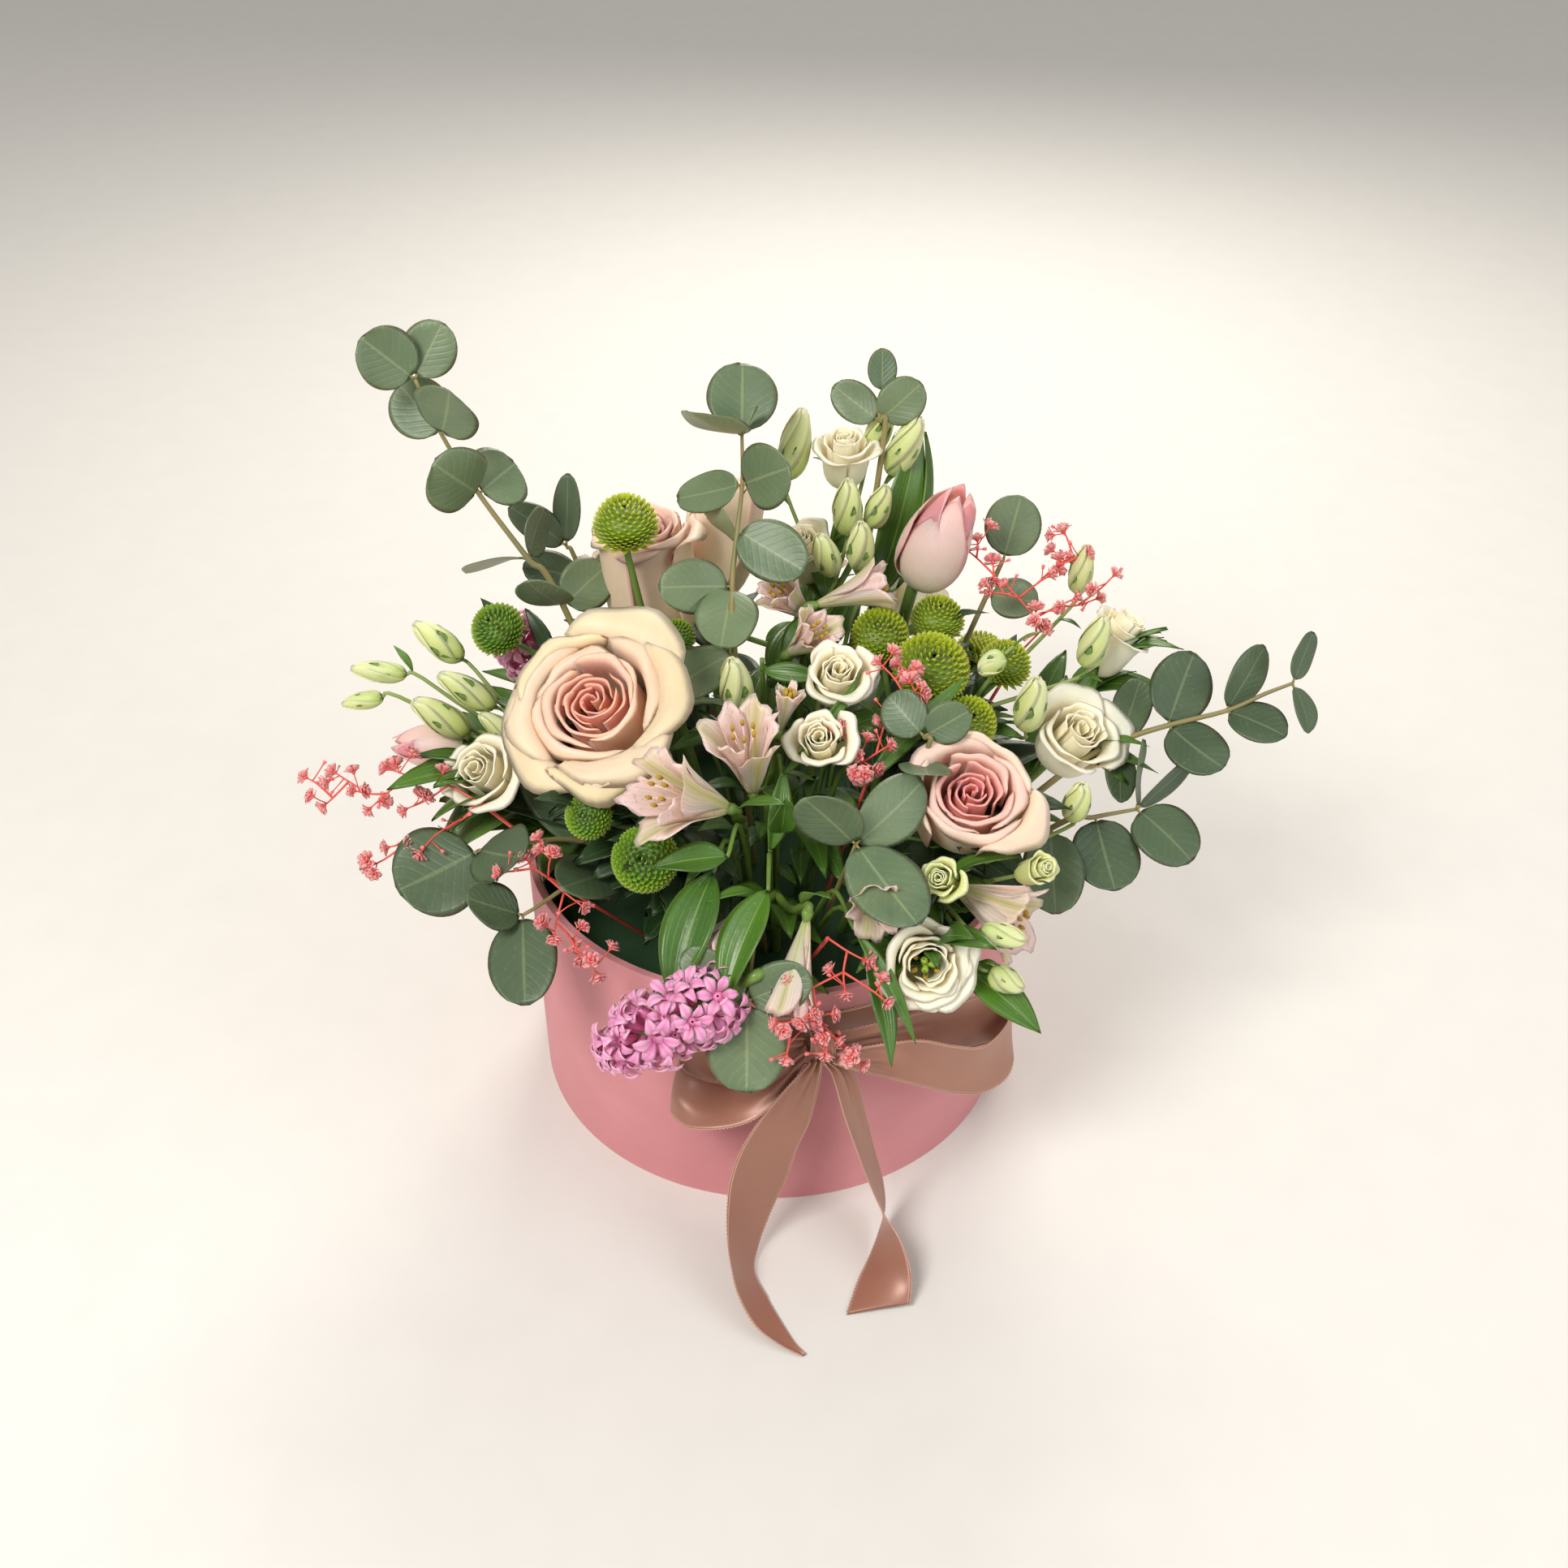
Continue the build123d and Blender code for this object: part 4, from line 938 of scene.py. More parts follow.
# Several heads that branch from one stem: (kind, stem radius, heads), each head as above.
SPRAYS = {
    "eustoma_middle": (eustoma, 1.3, [
        ((25, -15, 196), (0.1, -0.5, 0.85), 15, 20),
        ((19, -40, 184), (-0.1, -0.6, 0.8), 13, 18),
    ]),
    "eustoma_back": (eustoma, 1.3, [
        ((30, 88, 236), (0, -0.2, 1), 13, 24),
        ((13, 66, 203), (-0.2, -0.3, 1), 13, 26),
        ((62, 88, 164), (0.4, 0.8, 0.5), 17, 22),
        ((-28, 112, 156), (-0.2, 0.9, 0.4), 16, 22),
    ]),
    "eustoma_buds_left": (bud, 0.9, [
        ((-133, 26, 187), (-0.7, 0.1, 0.6), 5.5, 24),
        ((-156, 16, 179), (-0.95, 0, 0.12), 4.2, 22),
        ((-161, 4, 173), (-0.9, 0, -0.2), 3.5, 17),
        ((-130, -1, 169), (-0.7, -0.1, 0.6), 6, 26),
        ((-120, 7, 176), (-0.7, 0, 0.5), 5.5, 26),
        ((-106, -2, 164), (-0.7, 0, 0.6), 4.5, 22),
    ]),
    "eustoma_buds_middle": (bud, 0.9, [
        ((-13, -16, 194), (-0.1, -0.1, 1), 6.2, 26),
        ((-27, 34, 208), (-0.6, 0, 0.7), 5.5, 22),
    ]),
    "eustoma_buds_back": (bud, 0.9, [
        ((10, 90, 242), (0.2, 0.2, 0.9), 6.5, 30),
        ((45, 96, 247), (0.3, 0.1, 0.9), 5.2, 24),
        ((55, 88, 242), (0.4, 0, 0.9), 6.2, 28),
        ((31, 66, 226), (0, -0.1, 1), 6, 26),
        ((36, 52, 216), (0, -0.2, 1), 5.5, 24),
        ((22, 50, 213), (-0.3, -0.2, 1), 5.2, 22),
        ((44, 70, 224), (0.3, 0, 1), 5, 20),
    ]),
    "eustoma_buds_upper_right": (bud, 0.9, [
        ((126, 52, 205), (0.1, 0, 1), 4.8, 22),
        ((128, 18, 192), (0.2, 0, 0.9), 5.8, 24),
        ((101, -8, 180), (0.1, -0.1, 1), 6.2, 26),
        ((85, 0, 193), (-0.5, -0.3, -0.2), 4.5, 12),
    ]),
    "eustoma_buds_lower_right": (bud, 0.9, [
        ((116, -44, 160), (0.1, -0.2, 1), 5.2, 20),
        ((97, -74, 151), (0.4, -0.5, 0.6), 7, 18),
        ((63, -84, 155), (-0.3, -0.6, 0.6), 8, 18),
        ((84, -100, 142), (0.9, -0.3, 0), 4.5, 17),
        ((86, -104, 124), (0.8, -0.4, -0.2), 4.8, 14),
    ]),
    "santini_front": (santini, 1.3, [
        ((-67, -66, 170), (-0.2, -0.7, 0.6), 9.5, 14),
        ((-46, -76, 158), (-0.1, -0.7, 0.6), 13.5, 17),
        ((-43, -58, 176), (-0.1, -0.4, 0.9), 10, 13),
    ]),
    "santini_right": (santini, 1.3, [
        ((43, 24, 194), (-0.1, -0.4, 0.9), 12.5, 17),
        ((63, 2, 193), (0.1, -0.4, 0.9), 16.5, 20),
        ((68, 40, 192), (0.1, -0.1, 1), 12, 16),
        ((95, 20, 183), (0.3, -0.2, 0.9), 11.5, 16),
        ((78, -11, 175), (0.2, -0.5, 0.8), 12, 16),
        ((92, 66, 158), (0.6, 0.6, 0.5), 13, 17),
    ]),
    "santini_left": (santini, 1.3, [
        ((-112, 34, 190), (-0.4, -0.4, 0.8), 12, 17),
        ((-38, 38, 184), (0, -0.3, 1), 8, 13),
        ((-73, 40, 186), (-0.2, -0.3, 1), 9, 13),
        ((-62, 94, 164), (-0.4, 0.7, 0.6), 13, 17),
        ((-84, 82, 150), (-0.7, 0.5, 0.5), 11, 15),
    ]),
    "alstroemeria_left": (alstroemeria, 1.6, [
        ((-29, -74, 184), (-0.75, -0.35, 0.5), 15, 36),
    ]),
    "alstroemeria_middle": (alstroemeria, 1.6, [
        ((-8, -52, 186), (-0.1, -0.2, 1), 13, 38),
        ((6, -27, 190), (0.2, 0, 1), 5, 20),
    ]),
    "alstroemeria_front": (alstroemeria, 1.6, [
        ((10, -112, 136), (-0.15, -0.5, -0.7), 9, 38),
        ((-15, -97, 141), (-0.6, -0.5, -0.5), 8, 26),
    ]),
    "alstroemeria_front_right": (alstroemeria, 1.6, [
        ((38, -88, 152), (0.1, -0.8, 0.1), 11, 26),
        ((82, -80, 138), (0.7, -0.5, -0.1), 14, 32),
    ]),
    "alstroemeria_back": (alstroemeria, 1.6, [
        ((33, 32, 206), (0.9, 0, 0.35), 9, 32),
        ((8, 38, 198), (-0.5, -0.3, 0.7), 9, 28),
        ((14, 14, 195), (0.5, -0.4, 0.7), 9, 26),
        ((18, 108, 168), (0.1, 0.8, 0.4), 12, 32),
        ((-66, 76, 186), (-0.5, 0.6, 0.6), 10, 30),
    ]),
}

# A sprig is its stem's points above the foam and its leaves: (the point that the leaf grows
# from, its middle, the direction its face looks in, its width).
EUCALYPTUS = {
    "eucalyptus_tall_left": (
        [(-84, 43, 193), (-97, 45, 214), (-114, 48, 241), (-126, 50, 265), (-134, 52, 287)],
        [
            (4, (-143, 49, 297), (0, -0.8, 0.6), 24),
            (4, (-128, 57, 297), (0.2, -0.8, 0.6), 21),
            (3, (-122, 43, 278), (0, -0.9, 0.5), 27),
            (3, (-135, 57, 273), (0, -0.8, 0.6), 24),
            (2, (-121, 40, 252), (0, -0.9, 0.5), 28),
            (2, (-107, 56, 244), (0.2, -0.8, 0.6), 27),
            (1, (-94, 54, 221), (0.9, -0.4, 0), 22),
            (1, (-112, 54, 205), (0, 0.5, 0.9), 18),
            (0, (-90, 35, 204), (-0.4, -0.8, 0.5), 22),
            (0, (-75, 50, 199), (0.4, -0.8, 0.5), 22),
        ],
    ),
    "eucalyptus_back_left": (
        [(-78, 68, 190), (-85, 73, 204)],
        [
            (1, (-84, 78, 219), (-0.2, -0.9, 0.3), 12),
            (1, (-97, 74, 213), (0, -0.6, 0.8), 15),
            (0, (-91, 66, 195), (0.2, -0.6, 0.8), 18),
            (0, (-66, 72, 196), (0, -0.5, 0.9), 18),
        ],
    ),
    "eucalyptus_centre": (
        [(-14, 8, 193), (-15, 28, 211), (-13, 42, 228), (-11, 50, 244), (-11, 58, 261)],
        [
            (4, (-11, 69, 272), (0, -0.7, 0.7), 28),
            (4, (-21, 50, 270), (0.1, 0.6, 0.8), 27),
            (4, (-8, 55, 269), (0.9, -0.3, 0.2), 10),
            (3, (-1, 42, 252), (0, -0.9, 0.5), 26),
            (3, (-25, 57, 237), (0.2, -0.7, 0.7), 17),
            (2, (-20, 52, 226), (0.9, -0.4, 0.3), 18),
            (2, (1, 34, 223), (0.2, -0.9, 0.5), 24),
            (1, (-30, 24, 213), (-0.2, -0.8, 0.6), 22),
            (1, (-17, 12, 206), (0, -0.6, 0.8), 25),
            (0, (-27, -6, 192), (-0.3, -0.7, 0.7), 22),
        ],
    ),
    "eucalyptus_back": (
        [(45, 85, 238), (44, 90, 252), (45, 94, 262)],
        [
            (2, (45, 98, 271), (0, -0.8, 0.6), 12),
            (1, (34, 95, 258), (-0.2, -0.8, 0.6), 16),
            (1, (53, 92, 260), (0.3, -0.8, 0.6), 19),
        ],
    ),
    "eucalyptus_back_right": (
        [(90, 64, 186), (97, 74, 197)],
        [
            (1, (101, 83, 208), (0, -0.8, 0.6), 24),
            (0, (101, 60, 186), (0.2, -0.7, 0.7), 18),
        ],
    ),
    "eucalyptus_right": (
        [(113, -10, 145), (139, 0, 156), (157, 0, 164), (179, 0, 171), (193, 0, 179), (203, 0, 184)],
        [
            (1, (145, 15, 162), (0, -0.6, 0.8), 16),
            (1, (138, -12, 149), (0.3, -0.5, 0.8), 14),
            (2, (163, 11, 175), (0, -0.7, 0.7), 25),
            (2, (167, -11, 161), (0, -0.5, 0.9), 23),
            (3, (187, 8, 182), (0.3, -0.9, 0.2), 17),
            (3, (190, -8, 170), (0.1, -0.5, 0.9), 19),
            (5, (207, 6, 193), (0.5, -0.8, 0.2), 12),
            (5, (206, -7, 176), (0.7, -0.7, 0.2), 14),
        ],
    ),
    "eucalyptus_lower_right": (
        [(108, -38, 142), (126, -32, 143), (143, -27, 143)],
        [
            (2, (145, -16, 153), (0.9, -0.4, 0), 16),
            (2, (156, -18, 150), (0.6, -0.7, 0.2), 10),
            (2, (153, -38, 138), (-0.1, -0.3, 0.9), 26),
            (1, (129, -46, 135), (0, -0.2, 1), 27),
            (0, (108, -54, 133), (0, -0.2, 1), 24),
        ],
    ),
    "eucalyptus_front": (
        [(31, -80, 168)],
        [
            (0, (21, -84, 182), (-0.2, -0.9, 0.3), 22),
            (0, (42, -96, 162), (0.1, -0.5, 0.9), 27),
            (0, (44, -68, 174), (0.2, -0.8, 0.5), 22),
        ],
    ),
    "eucalyptus_inner": (
        [(57, -42, 178), (57, -40, 187)],
        [
            (1, (50, -33, 192), (-0.1, -0.8, 0.6), 18),
            (1, (66, -38, 192), (0.2, -0.8, 0.6), 16),
            (0, (57, -54, 183), (0.1, 0.6, 0.8), 20),
        ],
    ),
    "eucalyptus_left": (
        [(-70, -30, 128), (-111, -50, 141)],
        [
            (1, (-126, -59, 138), (-0.1, -0.6, 0.8), 38),
            (1, (-100, -62, 149), (0, -0.5, 0.9), 27),
            (0, (-84, -20, 142), (0, -0.5, 0.9), 22),
        ],
    ),
    "eucalyptus_front_left": (
        [(-60, -46, 128), (-92, -76, 131)],
        [
            (1, (-102, -80, 139), (0, -0.4, 0.9), 20),
            (1, (-90, -94, 124), (-0.1, -0.5, 0.9), 26),
            (0, (-68, -66, 140), (0.2, -0.5, 0.9), 24),
        ],
    ),
    "eucalyptus_over_bow": (
        [(-4, -84, 136), (-8, -117, 126)],
        [
            (1, (-8, -127, 112), (-0.1, -0.8, 0.6), 29),
            (1, (4, -117, 133), (0.3, -0.6, 0.7), 19),
            (1, (-20, -112, 134), (-0.3, -0.6, 0.7), 17),
        ],
    ),
}

# (Where the blade grows from, its middle, the direction its face looks in, its width.)
BLADES = {
    "leaves_front": [
        ((-20, -80, 156), (-28, -100, 142), (-0.3, -0.5, 0.8), 20),
        ((0, -90, 156), (-8, -106, 143), (-0.5, -0.5, 0.7), 17),
        ((-14, -82, 164), (-28, -86, 165), (0, -0.5, 0.9), 12),
        ((4, -66, 162), (5, -70, 173), (0.1, -0.9, 0.3), 11),
        ((34, -94, 134), (39, -112, 119), (0.5, -0.6, 0.6), 9),
        ((30, -96, 143), (42, -112, 129), (0.4, -0.7, 0.6), 6),
        ((66, -94, 126), (83, -104, 116), (0.2, -0.5, 0.9), 15),
        ((4, -50, 175), (20, -33, 188), (0.4, -0.8, 0.5), 6),
        ((34, -44, 166), (55, -26, 180), (0, -0.7, 0.7), 8),
        ((-4, 0, 190), (9, -3, 190), (0.2, -0.7, 0.7), 8),
        ((0, -66, 152), (3, -56, 166), (0.3, -0.9, 0.3), 9),
    ],
    "tulip_leaves": [
        ((42, 66, 180), (52, 82, 216), (0.4, -0.8, 0.3), 21),
        ((52, 70, 184), (60, 84, 214), (0.8, -0.4, 0.1), 14),
    ],
}

# Each spray is its branching point and the places of its florets.
GYPSOPHILA = {
    "gypsophila_left": [
        ((-112, -34, 152), [
            (-182, -20, 154), (-174, -30, 146), (-171, -18, 155), (-163, -24, 150),
            (-156, -32, 146), (-150, -20, 158), (-142, -33, 147), (-137, -22, 157),
            (-155, -50, 132), (-148, -45, 138), (-133, -54, 142), (-126, -40, 142),
        ]),
        ((-82, -70, 144), [
            (-100, -74, 150), (-90, -70, 154), (-79, -72, 158), (-78, -95, 136),
            (-71, -92, 131), (-67, -86, 143), (-62, -104, 126), (-68, -103, 132),
        ]),
    ],
    "gypsophila_right": [
        ((102, 36, 176), [
            (118, 60, 219), (121, 54, 209), (128, 50, 214), (138, 42, 209),
            (132, 38, 200), (122, 33, 203), (113, 46, 206), (106, 34, 198),
            (94, 46, 202), (90, 56, 207), (84, 64, 213), (79, 68, 206),
            (87, 40, 201), (109, 27, 193),
        ]),
    ],
    "gypsophila_middle": [
        ((38, -36, 168), [
            (47, -27, 192), (55, -14, 200), (45, -42, 185), (32, -46, 183),
            (26, -38, 190), (33, -56, 180), (56, -28, 202), (40, -18, 206),
        ]),
    ],
    "gypsophila_front": [
        ((21, -100, 141), [
            (7, -121, 128), (2, -127, 125), (11, -129, 127), (17, -124, 121),
            (25, -128, 117), (20, -131, 113), (30, -125, 109), (34, -129, 106),
            (42, -121, 129), (36, -110, 138), (27, -117, 129), (6, -133, 113),
        ]),
    ],
}


# ---- Putting the insert together --------------------------------------------------------------------
BLOOM_PAINTS = {
    rose: ([CREAM_ROSE, LEAF_GREEN, DARK_GREEN, STEM_GREEN], "rose_petal"),
    eustoma: ([WHITE_PETAL, LEAF_GREEN, PISTIL, ANTHER, STEM_GREEN], "eustoma_petal"),
    bud: ([BUD_PETAL, LEAF_GREEN, STEM_PALE], "bud_green"),
    santini: ([SANTINI_PETAL, DARK_GREEN, STEM_GREEN], "santini_green"),
    alstroemeria: (
        [ALSTROEMERIA_PETAL, ALSTROEMERIA_OUTER, LEAF_GREEN, ANTHER, STEM_GREEN], "alstroemeria_petal",
    ),
    hyacinth: ([HYACINTH_PETAL, STEM_GREEN, LEAF_GREEN], "hyacinth_pink"),
    tulip: ([TULIP_PETAL, LEAF_GREEN, STEM_GREEN], "tulip_pink"),
}
LEAF_SLOT = {rose: 2, eustoma: 1, bud: 1, santini: 1, alstroemeria: 2, hyacinth: 2, tulip: 1}
HEAD_FORM = {
    "rose_front_left": {"petals": 24},
    "rose_right": {"petals": 19, "opening": 0.75},
    "rose_back_left": {"petals": 20, "opening": 0.5},
    "rose_back_middle": {"petals": 20, "opening": 0.5},
    "eustoma_front": {"heart": 0.42},
}

# How a head nods on its stem, and its girth and rise as shares of the part's plain outline.
HEAD_POSE = {
    "rose_front_left": ((-0.2, -0.48, 0.78), 0.93, 0.86),
    "rose_right": ((0.05, -0.5, 0.8), 0.92, 0.8),
}
HALF_OPEN = 6.9  # a bud wider than this has begun to open
# Sprigs that stand in the shade of the others; their leaves get a darker copy of the eucalyptus paint as
# painted shade.
SHADED_SPRIGS = (
    "eucalyptus_left", "eucalyptus_front_left", "eucalyptus_lower_right", "eucalyptus_back_left",
    "eucalyptus_right",
)
# Plants that also carry low, broad leaves, which hide the foam.
UNDERGROWTH = ("rose_front_left", "rose_right", "eustoma_left", "santini_front", "santini_right")


def seeded(name):
    return random.Random(sum(ord(letter) * (i + 1) for i, letter in enumerate(name)))


def place(shape, name, materials, slot, body="insert"):
    """Builds a piece that stands for the CAD node of that name."""
    piece = shape.build(name + "_detail", materials)
    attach(piece, body)
    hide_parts(name)
    return piece


def add_single_flowers():
    for name, (kind, stem, centre, facing, radius, depth) in SINGLE_FLOWERS.items():
        rng = seeded(name)
        materials, slot = BLOOM_PAINTS[kind]
        if name in ("rose_right", "rose_back_left", "rose_back_middle"):
            materials = [PEACH_ROSE, *materials[1:]]
        if name == "santini_tall":
            materials = [SANTINI_LIME, *materials[1:]]
        shape = Shape()
        base = head_base(centre, facing, depth)
        nod, girth, rise = HEAD_POSE.get(name, (facing, 1.0, 1.0))
        kind(shape, base, nod, radius * girth, depth * rise, rng, **HEAD_FORM.get(name, {}))
        path = single_stem(shape, base, facing, stem, len(materials) - 1)
        leaf = LEAF_SLOT[kind]
        if kind is rose:
            sepals(shape, base, facing, radius * 0.5, depth, 5, leaf, rng, share=0.4)
        if kind in (rose, eustoma):
            stem_leaves(shape, path, 9, 40, leaf, rng, low=0.3, high=0.8)
        if kind is hyacinth:
            stem_leaves(shape, path, 8, 44, leaf, rng, low=0.1, high=0.42)
        if name in UNDERGROWTH:
            stem_leaves(shape, path, 14, 44, leaf, rng, width=0.42, low=0.25, high=0.55, flat=0.6)
        place(shape, name, materials, slot)


def add_sprays():
    for name, (kind, stem, heads) in SPRAYS.items():
        rng = seeded(name)
        materials, slot = BLOOM_PAINTS[kind]
        if name == "santini_right":
            materials = [SANTINI_LIME, *materials[1:]]
        shape = Shape()
        bases = [head_base(centre, facing, depth) for centre, facing, _, depth in heads]
        middle = sum(bases) / len(bases)
        foot = foot_of(middle)
        hub = foot + (middle - foot) * (HUB_REACH, HUB_REACH, HUB_RISE)
        last = len(materials) - 1
        path = smooth([foot, (foot + hub) / 2, hub], 8)
        shape.tube(path, stem * 1.3, last)
        leaf = LEAF_SLOT[kind]
        for base, (_, facing, radius, depth) in zip(bases, heads):
            head = eustoma if kind is bud and radius > HALF_OPEN else kind
            head(shape, base, facing, radius, depth, rng)
            reach = np.linalg.norm(base - hub)
            halfway = (hub + base) / 2 + (0, 0, -0.05 * reach)
            below_head = base - unit(facing) * min(5, reach * 0.3)
            branch = smooth([hub, halfway, below_head, base], 12)
            shape.tube(branch, np.linspace(stem * 1.1, stem * 0.8, 12), last)
            if kind is not bud:
                leaf_count = 1 if kind is alstroemeria else 3
                stem_leaves(shape, branch, leaf_count, 26, leaf, rng, low=0.2, high=0.75)
            else:
                stem_leaves(shape, branch, 1, 13, leaf, rng, low=0.3, high=0.8, width=0.22)
        stem_leaves(shape, path, 4 if kind is alstroemeria else 8, 38, leaf, rng, low=0.4, high=0.98)
        if name in UNDERGROWTH:
            stem_leaves(shape, path, 18, 46, leaf, rng, width=0.42, low=0.3, high=0.9, flat=0.6)
        place(shape, name, materials, slot)


def add_eucalyptus():
    for name, (route, leaves) in EUCALYPTUS.items():
        rng = seeded(name)
        shape = Shape()
        path = smooth([foot_of(route[0]), *route], 8 * len(route))
        shape.tube(path, np.linspace(1.5, 0.7, len(path)), 1)
        for joint, centre, normal, width in leaves:
            way = vec(centre) - vec(route[joint])
            along = unit(way)
            root = vec(route[joint]) + along * LEAF_STALK
            length = 2 * (np.linalg.norm(way) - LEAF_STALK)
            shape.tube([route[joint], root + along * 0.6], [0.6, 0.5], 1, sides=5)
            blade(
                shape, root, along, normal, length, width, 0, rng, pointed=False, rows=17, columns=13,
                arch=rng.uniform(-0.05, 0.07), fold=rng.uniform(0.02, 0.16), wave=rng.uniform(0.01, 0.04),
                thickness=0.5, twist=rng.uniform(-0.12, 0.12),
            )
        # Shaded sprigs get the darker eucalyptus paint as painted shade.
        green = EUCALYPTUS_PAINTED_SHADE if name in SHADED_SPRIGS else EUCALYPTUS_GREEN
        place(shape, name, [green, STEM_BROWN], "eucalyptus_leaf")


def add_blades():
    collar = []
    count, first, last = 12, -12.0, 192.0
    for i in range(count):
        bearing = math.radians(first + (last - first) * i / (count - 1))
        out = vec((math.cos(bearing), math.sin(bearing), 0))
        rise = 14 if i % 2 else 4
        collar.append((out * 66 + (0, 0, 116), out * 92 + (0, 0, 118 + rise), out * 0.3 + (0, 0, 1), 22))
    for name, blades in {**BLADES, "leaves_collar": collar}.items():
        rng = seeded(name)
        shape = Shape()
        for node, centre, normal, width in blades:
            node, centre = vec(node), vec(centre)
            way = centre - node
            along = unit(way)
            length = 2 * (np.linalg.norm(way) - LEAF_STALK)
            elbow = node * (0.75, 0.75, 1) - (0, 0, 4)
            shape.tube(smooth([foot_of(elbow), elbow, node + along], 12), np.linspace(1.2, 0.8, 12), 1)
            blade(
                shape, node + along, along, normal, length + 1, width, 0, rng, rows=19, columns=9,
                arch=0.06, droop=rng.uniform(0, 0.08), wave=0.05, fold=rng.uniform(0.3, 0.5),
                twist=rng.uniform(-0.3, 0.3), thickness=0.6,
            )
        green = DARK_GREEN if name == "leaves_collar" else LEAF_GREEN
        place(shape, name, [green, STEM_GREEN], "leaf_green")


def add_gypsophila():
    """Each spray forks like a thread-thin tree: a floret's twig starts at the nearest fork."""
    for name, sprays in GYPSOPHILA.items():
        rng = seeded(name)
        shape = Shape()
        for hub, places in sprays:
            hub = vec(hub)
            shape.tube(smooth([foot_of(hub), (foot_of(hub) + hub) / 2, hub], 6), 0.75, 1, sides=6)
            forks = [hub]
            for spot in sorted(places, key=lambda p: np.linalg.norm(vec(p) - hub)):
                spot = vec(spot)
                start = min(forks, key=lambda f: np.linalg.norm(f - spot) + 0.35 * np.linalg.norm(f - hub))
                way = spot - start
                bow = vec([rng.uniform(-0.08, 0.08) for _ in "xyz"]) * np.linalg.norm(way)
                fork = start + way * 0.55 + bow
                forks.append(fork)
                base = spot - unit(spot - fork) * 1.5
                shape.tube(smooth([start, fork, base], 8), np.linspace(0.5, 0.32, 8), 1, sides=5)
                pompon(shape, base, spot - fork, rng)
                for _ in range(2):
                    side = fork + (spot - fork) * rng.uniform(0.2, 0.7)
                    tip = side + vec([rng.uniform(-1, 1), rng.uniform(-1, 1), rng.uniform(-0.4, 1)]) * 6.0
                    shape.tube([side, (side + tip) / 2 + bow * 0.2, tip], [0.3, 0.26, 0.25], 1, sides=5)
                    if rng.random() < 0.5:
                        pompon(shape, tip, tip - side, rng)
                    else:
                        shape.tube([tip, tip + unit(tip - side) * 1.6], [0.5, 0.8], 0, sides=6)
        place(shape, name, [CORAL_PETAL, STEM_CORAL], "gypsophila_coral")


# ---- The ribbon -------------------------------------------------------------------------------------
RIBBON_WIDTH = 25.0
# The strip behind the bow: its radius, its reach to either side in degrees, and its bearing.
BAND_RADIUS, BAND_REACH, KNOT_BEARING = 100.5, 22.0, -80.0
KNOT_AT = vec((19, -107.5, 96))
KNOT_HALF = vec((5, 4.5, 5.5))
# A station is a pair of points, one on either edge of the ribbon.
LEFT_LOOP = [
    ((13.4, -111, 90), (13.6, -110, 96)),
    ((5, -118, 81), (7, -109, 88)),
    ((-4, -123, 74), (-1, -108, 83)),
    ((-12, -125, 71), (-9, -106, 76)),
    ((-22, -125, 69), (-18, -105, 72)),
    ((-32, -120, 65), (-28, -105.5, 76)),
    ((-38, -111, 64), (-34, -107.5, 84)),
    ((-34, -104, 63), (-32, -103.5, 87)),
    ((-22, -103.5, 66), (-22, -104, 90)),
    ((-5, -104.5, 76), (-5, -105, 95)),
    ((13.4, -106.5, 91), (13.4, -106.5, 98)),
]
RIGHT_LOOP = [
    ((24.6, -111, 90), (24.6, -110, 97)),
    ((33, -113, 88), (33, -112, 99)),
    ((44, -113, 84), (44, -111, 100)),
    ((57, -111, 77), (56, -109, 99)),
    ((70, -105, 67), (69, -104, 91)),
    ((82, -98, 60), (81, -97, 84)),
    ((92, -90, 60), (91, -83, 82)),
    ((94.5, -82, 65), (94, -71, 85)),
    ((87, -79, 67), (88, -72, 89)),
    ((75, -86, 71), (75, -83, 94)),
    ((57, -96, 81), (57, -95, 99)),
    ((42, -102, 88), (42, -102, 100)),
    ((24.6, -106.5, 91), (24.6, -106.5, 98)),
]
# The tails hang, twist and reach the surface; the left one ends in a slanted cut.
LEFT_TAIL = [
    ((15, -112.6, 92), (19, -112.4, 92)),
    ((6, -118, 84), (17.5, -113, 78)),
    ((-4, -122, 70), (14.5, -115, 62)),
    ((-11, -125, 57), (10, -117, 50)),
    ((-15, -128, 44), (6, -118, 34)),
    ((-16.5, -132, 32), (0, -120, 17)),
    ((-16.5, -139, 23), (-5, -127, 5)),
    ((-15, -148, 18), (-6.5, -138, 2)),
    ((-12, -157, 12), (-1, -150, 1)),
    ((-5.5, -166, 6), (5, -162, 1)),
    ((3.5, -172, 3), (9.5, -170, 1)),
    ((12, -175.5, 1), (13.5, -174.5, 1)),
]
RIGHT_TAIL = [
    ((19.6, -112.6, 92), (23.4, -112.4, 92)),
    ((23, -115, 85), (31, -108, 80)),
    ((27, -118, 70), (36, -107, 58)),
    ((32, -120, 53), (40, -106, 37)),
    ((37, -122, 37), (44, -107, 19)),
    ((43, -128, 25), (45, -112, 8)),
    ((49, -136, 20), (42, -121, 3)),
    ((52.5, -143, 14), (38, -131, 1)),
    ((53.5, -148, 9), (34, -141, 1)),
    ((53, -153.5, 3), (29, -157, 1)),
]

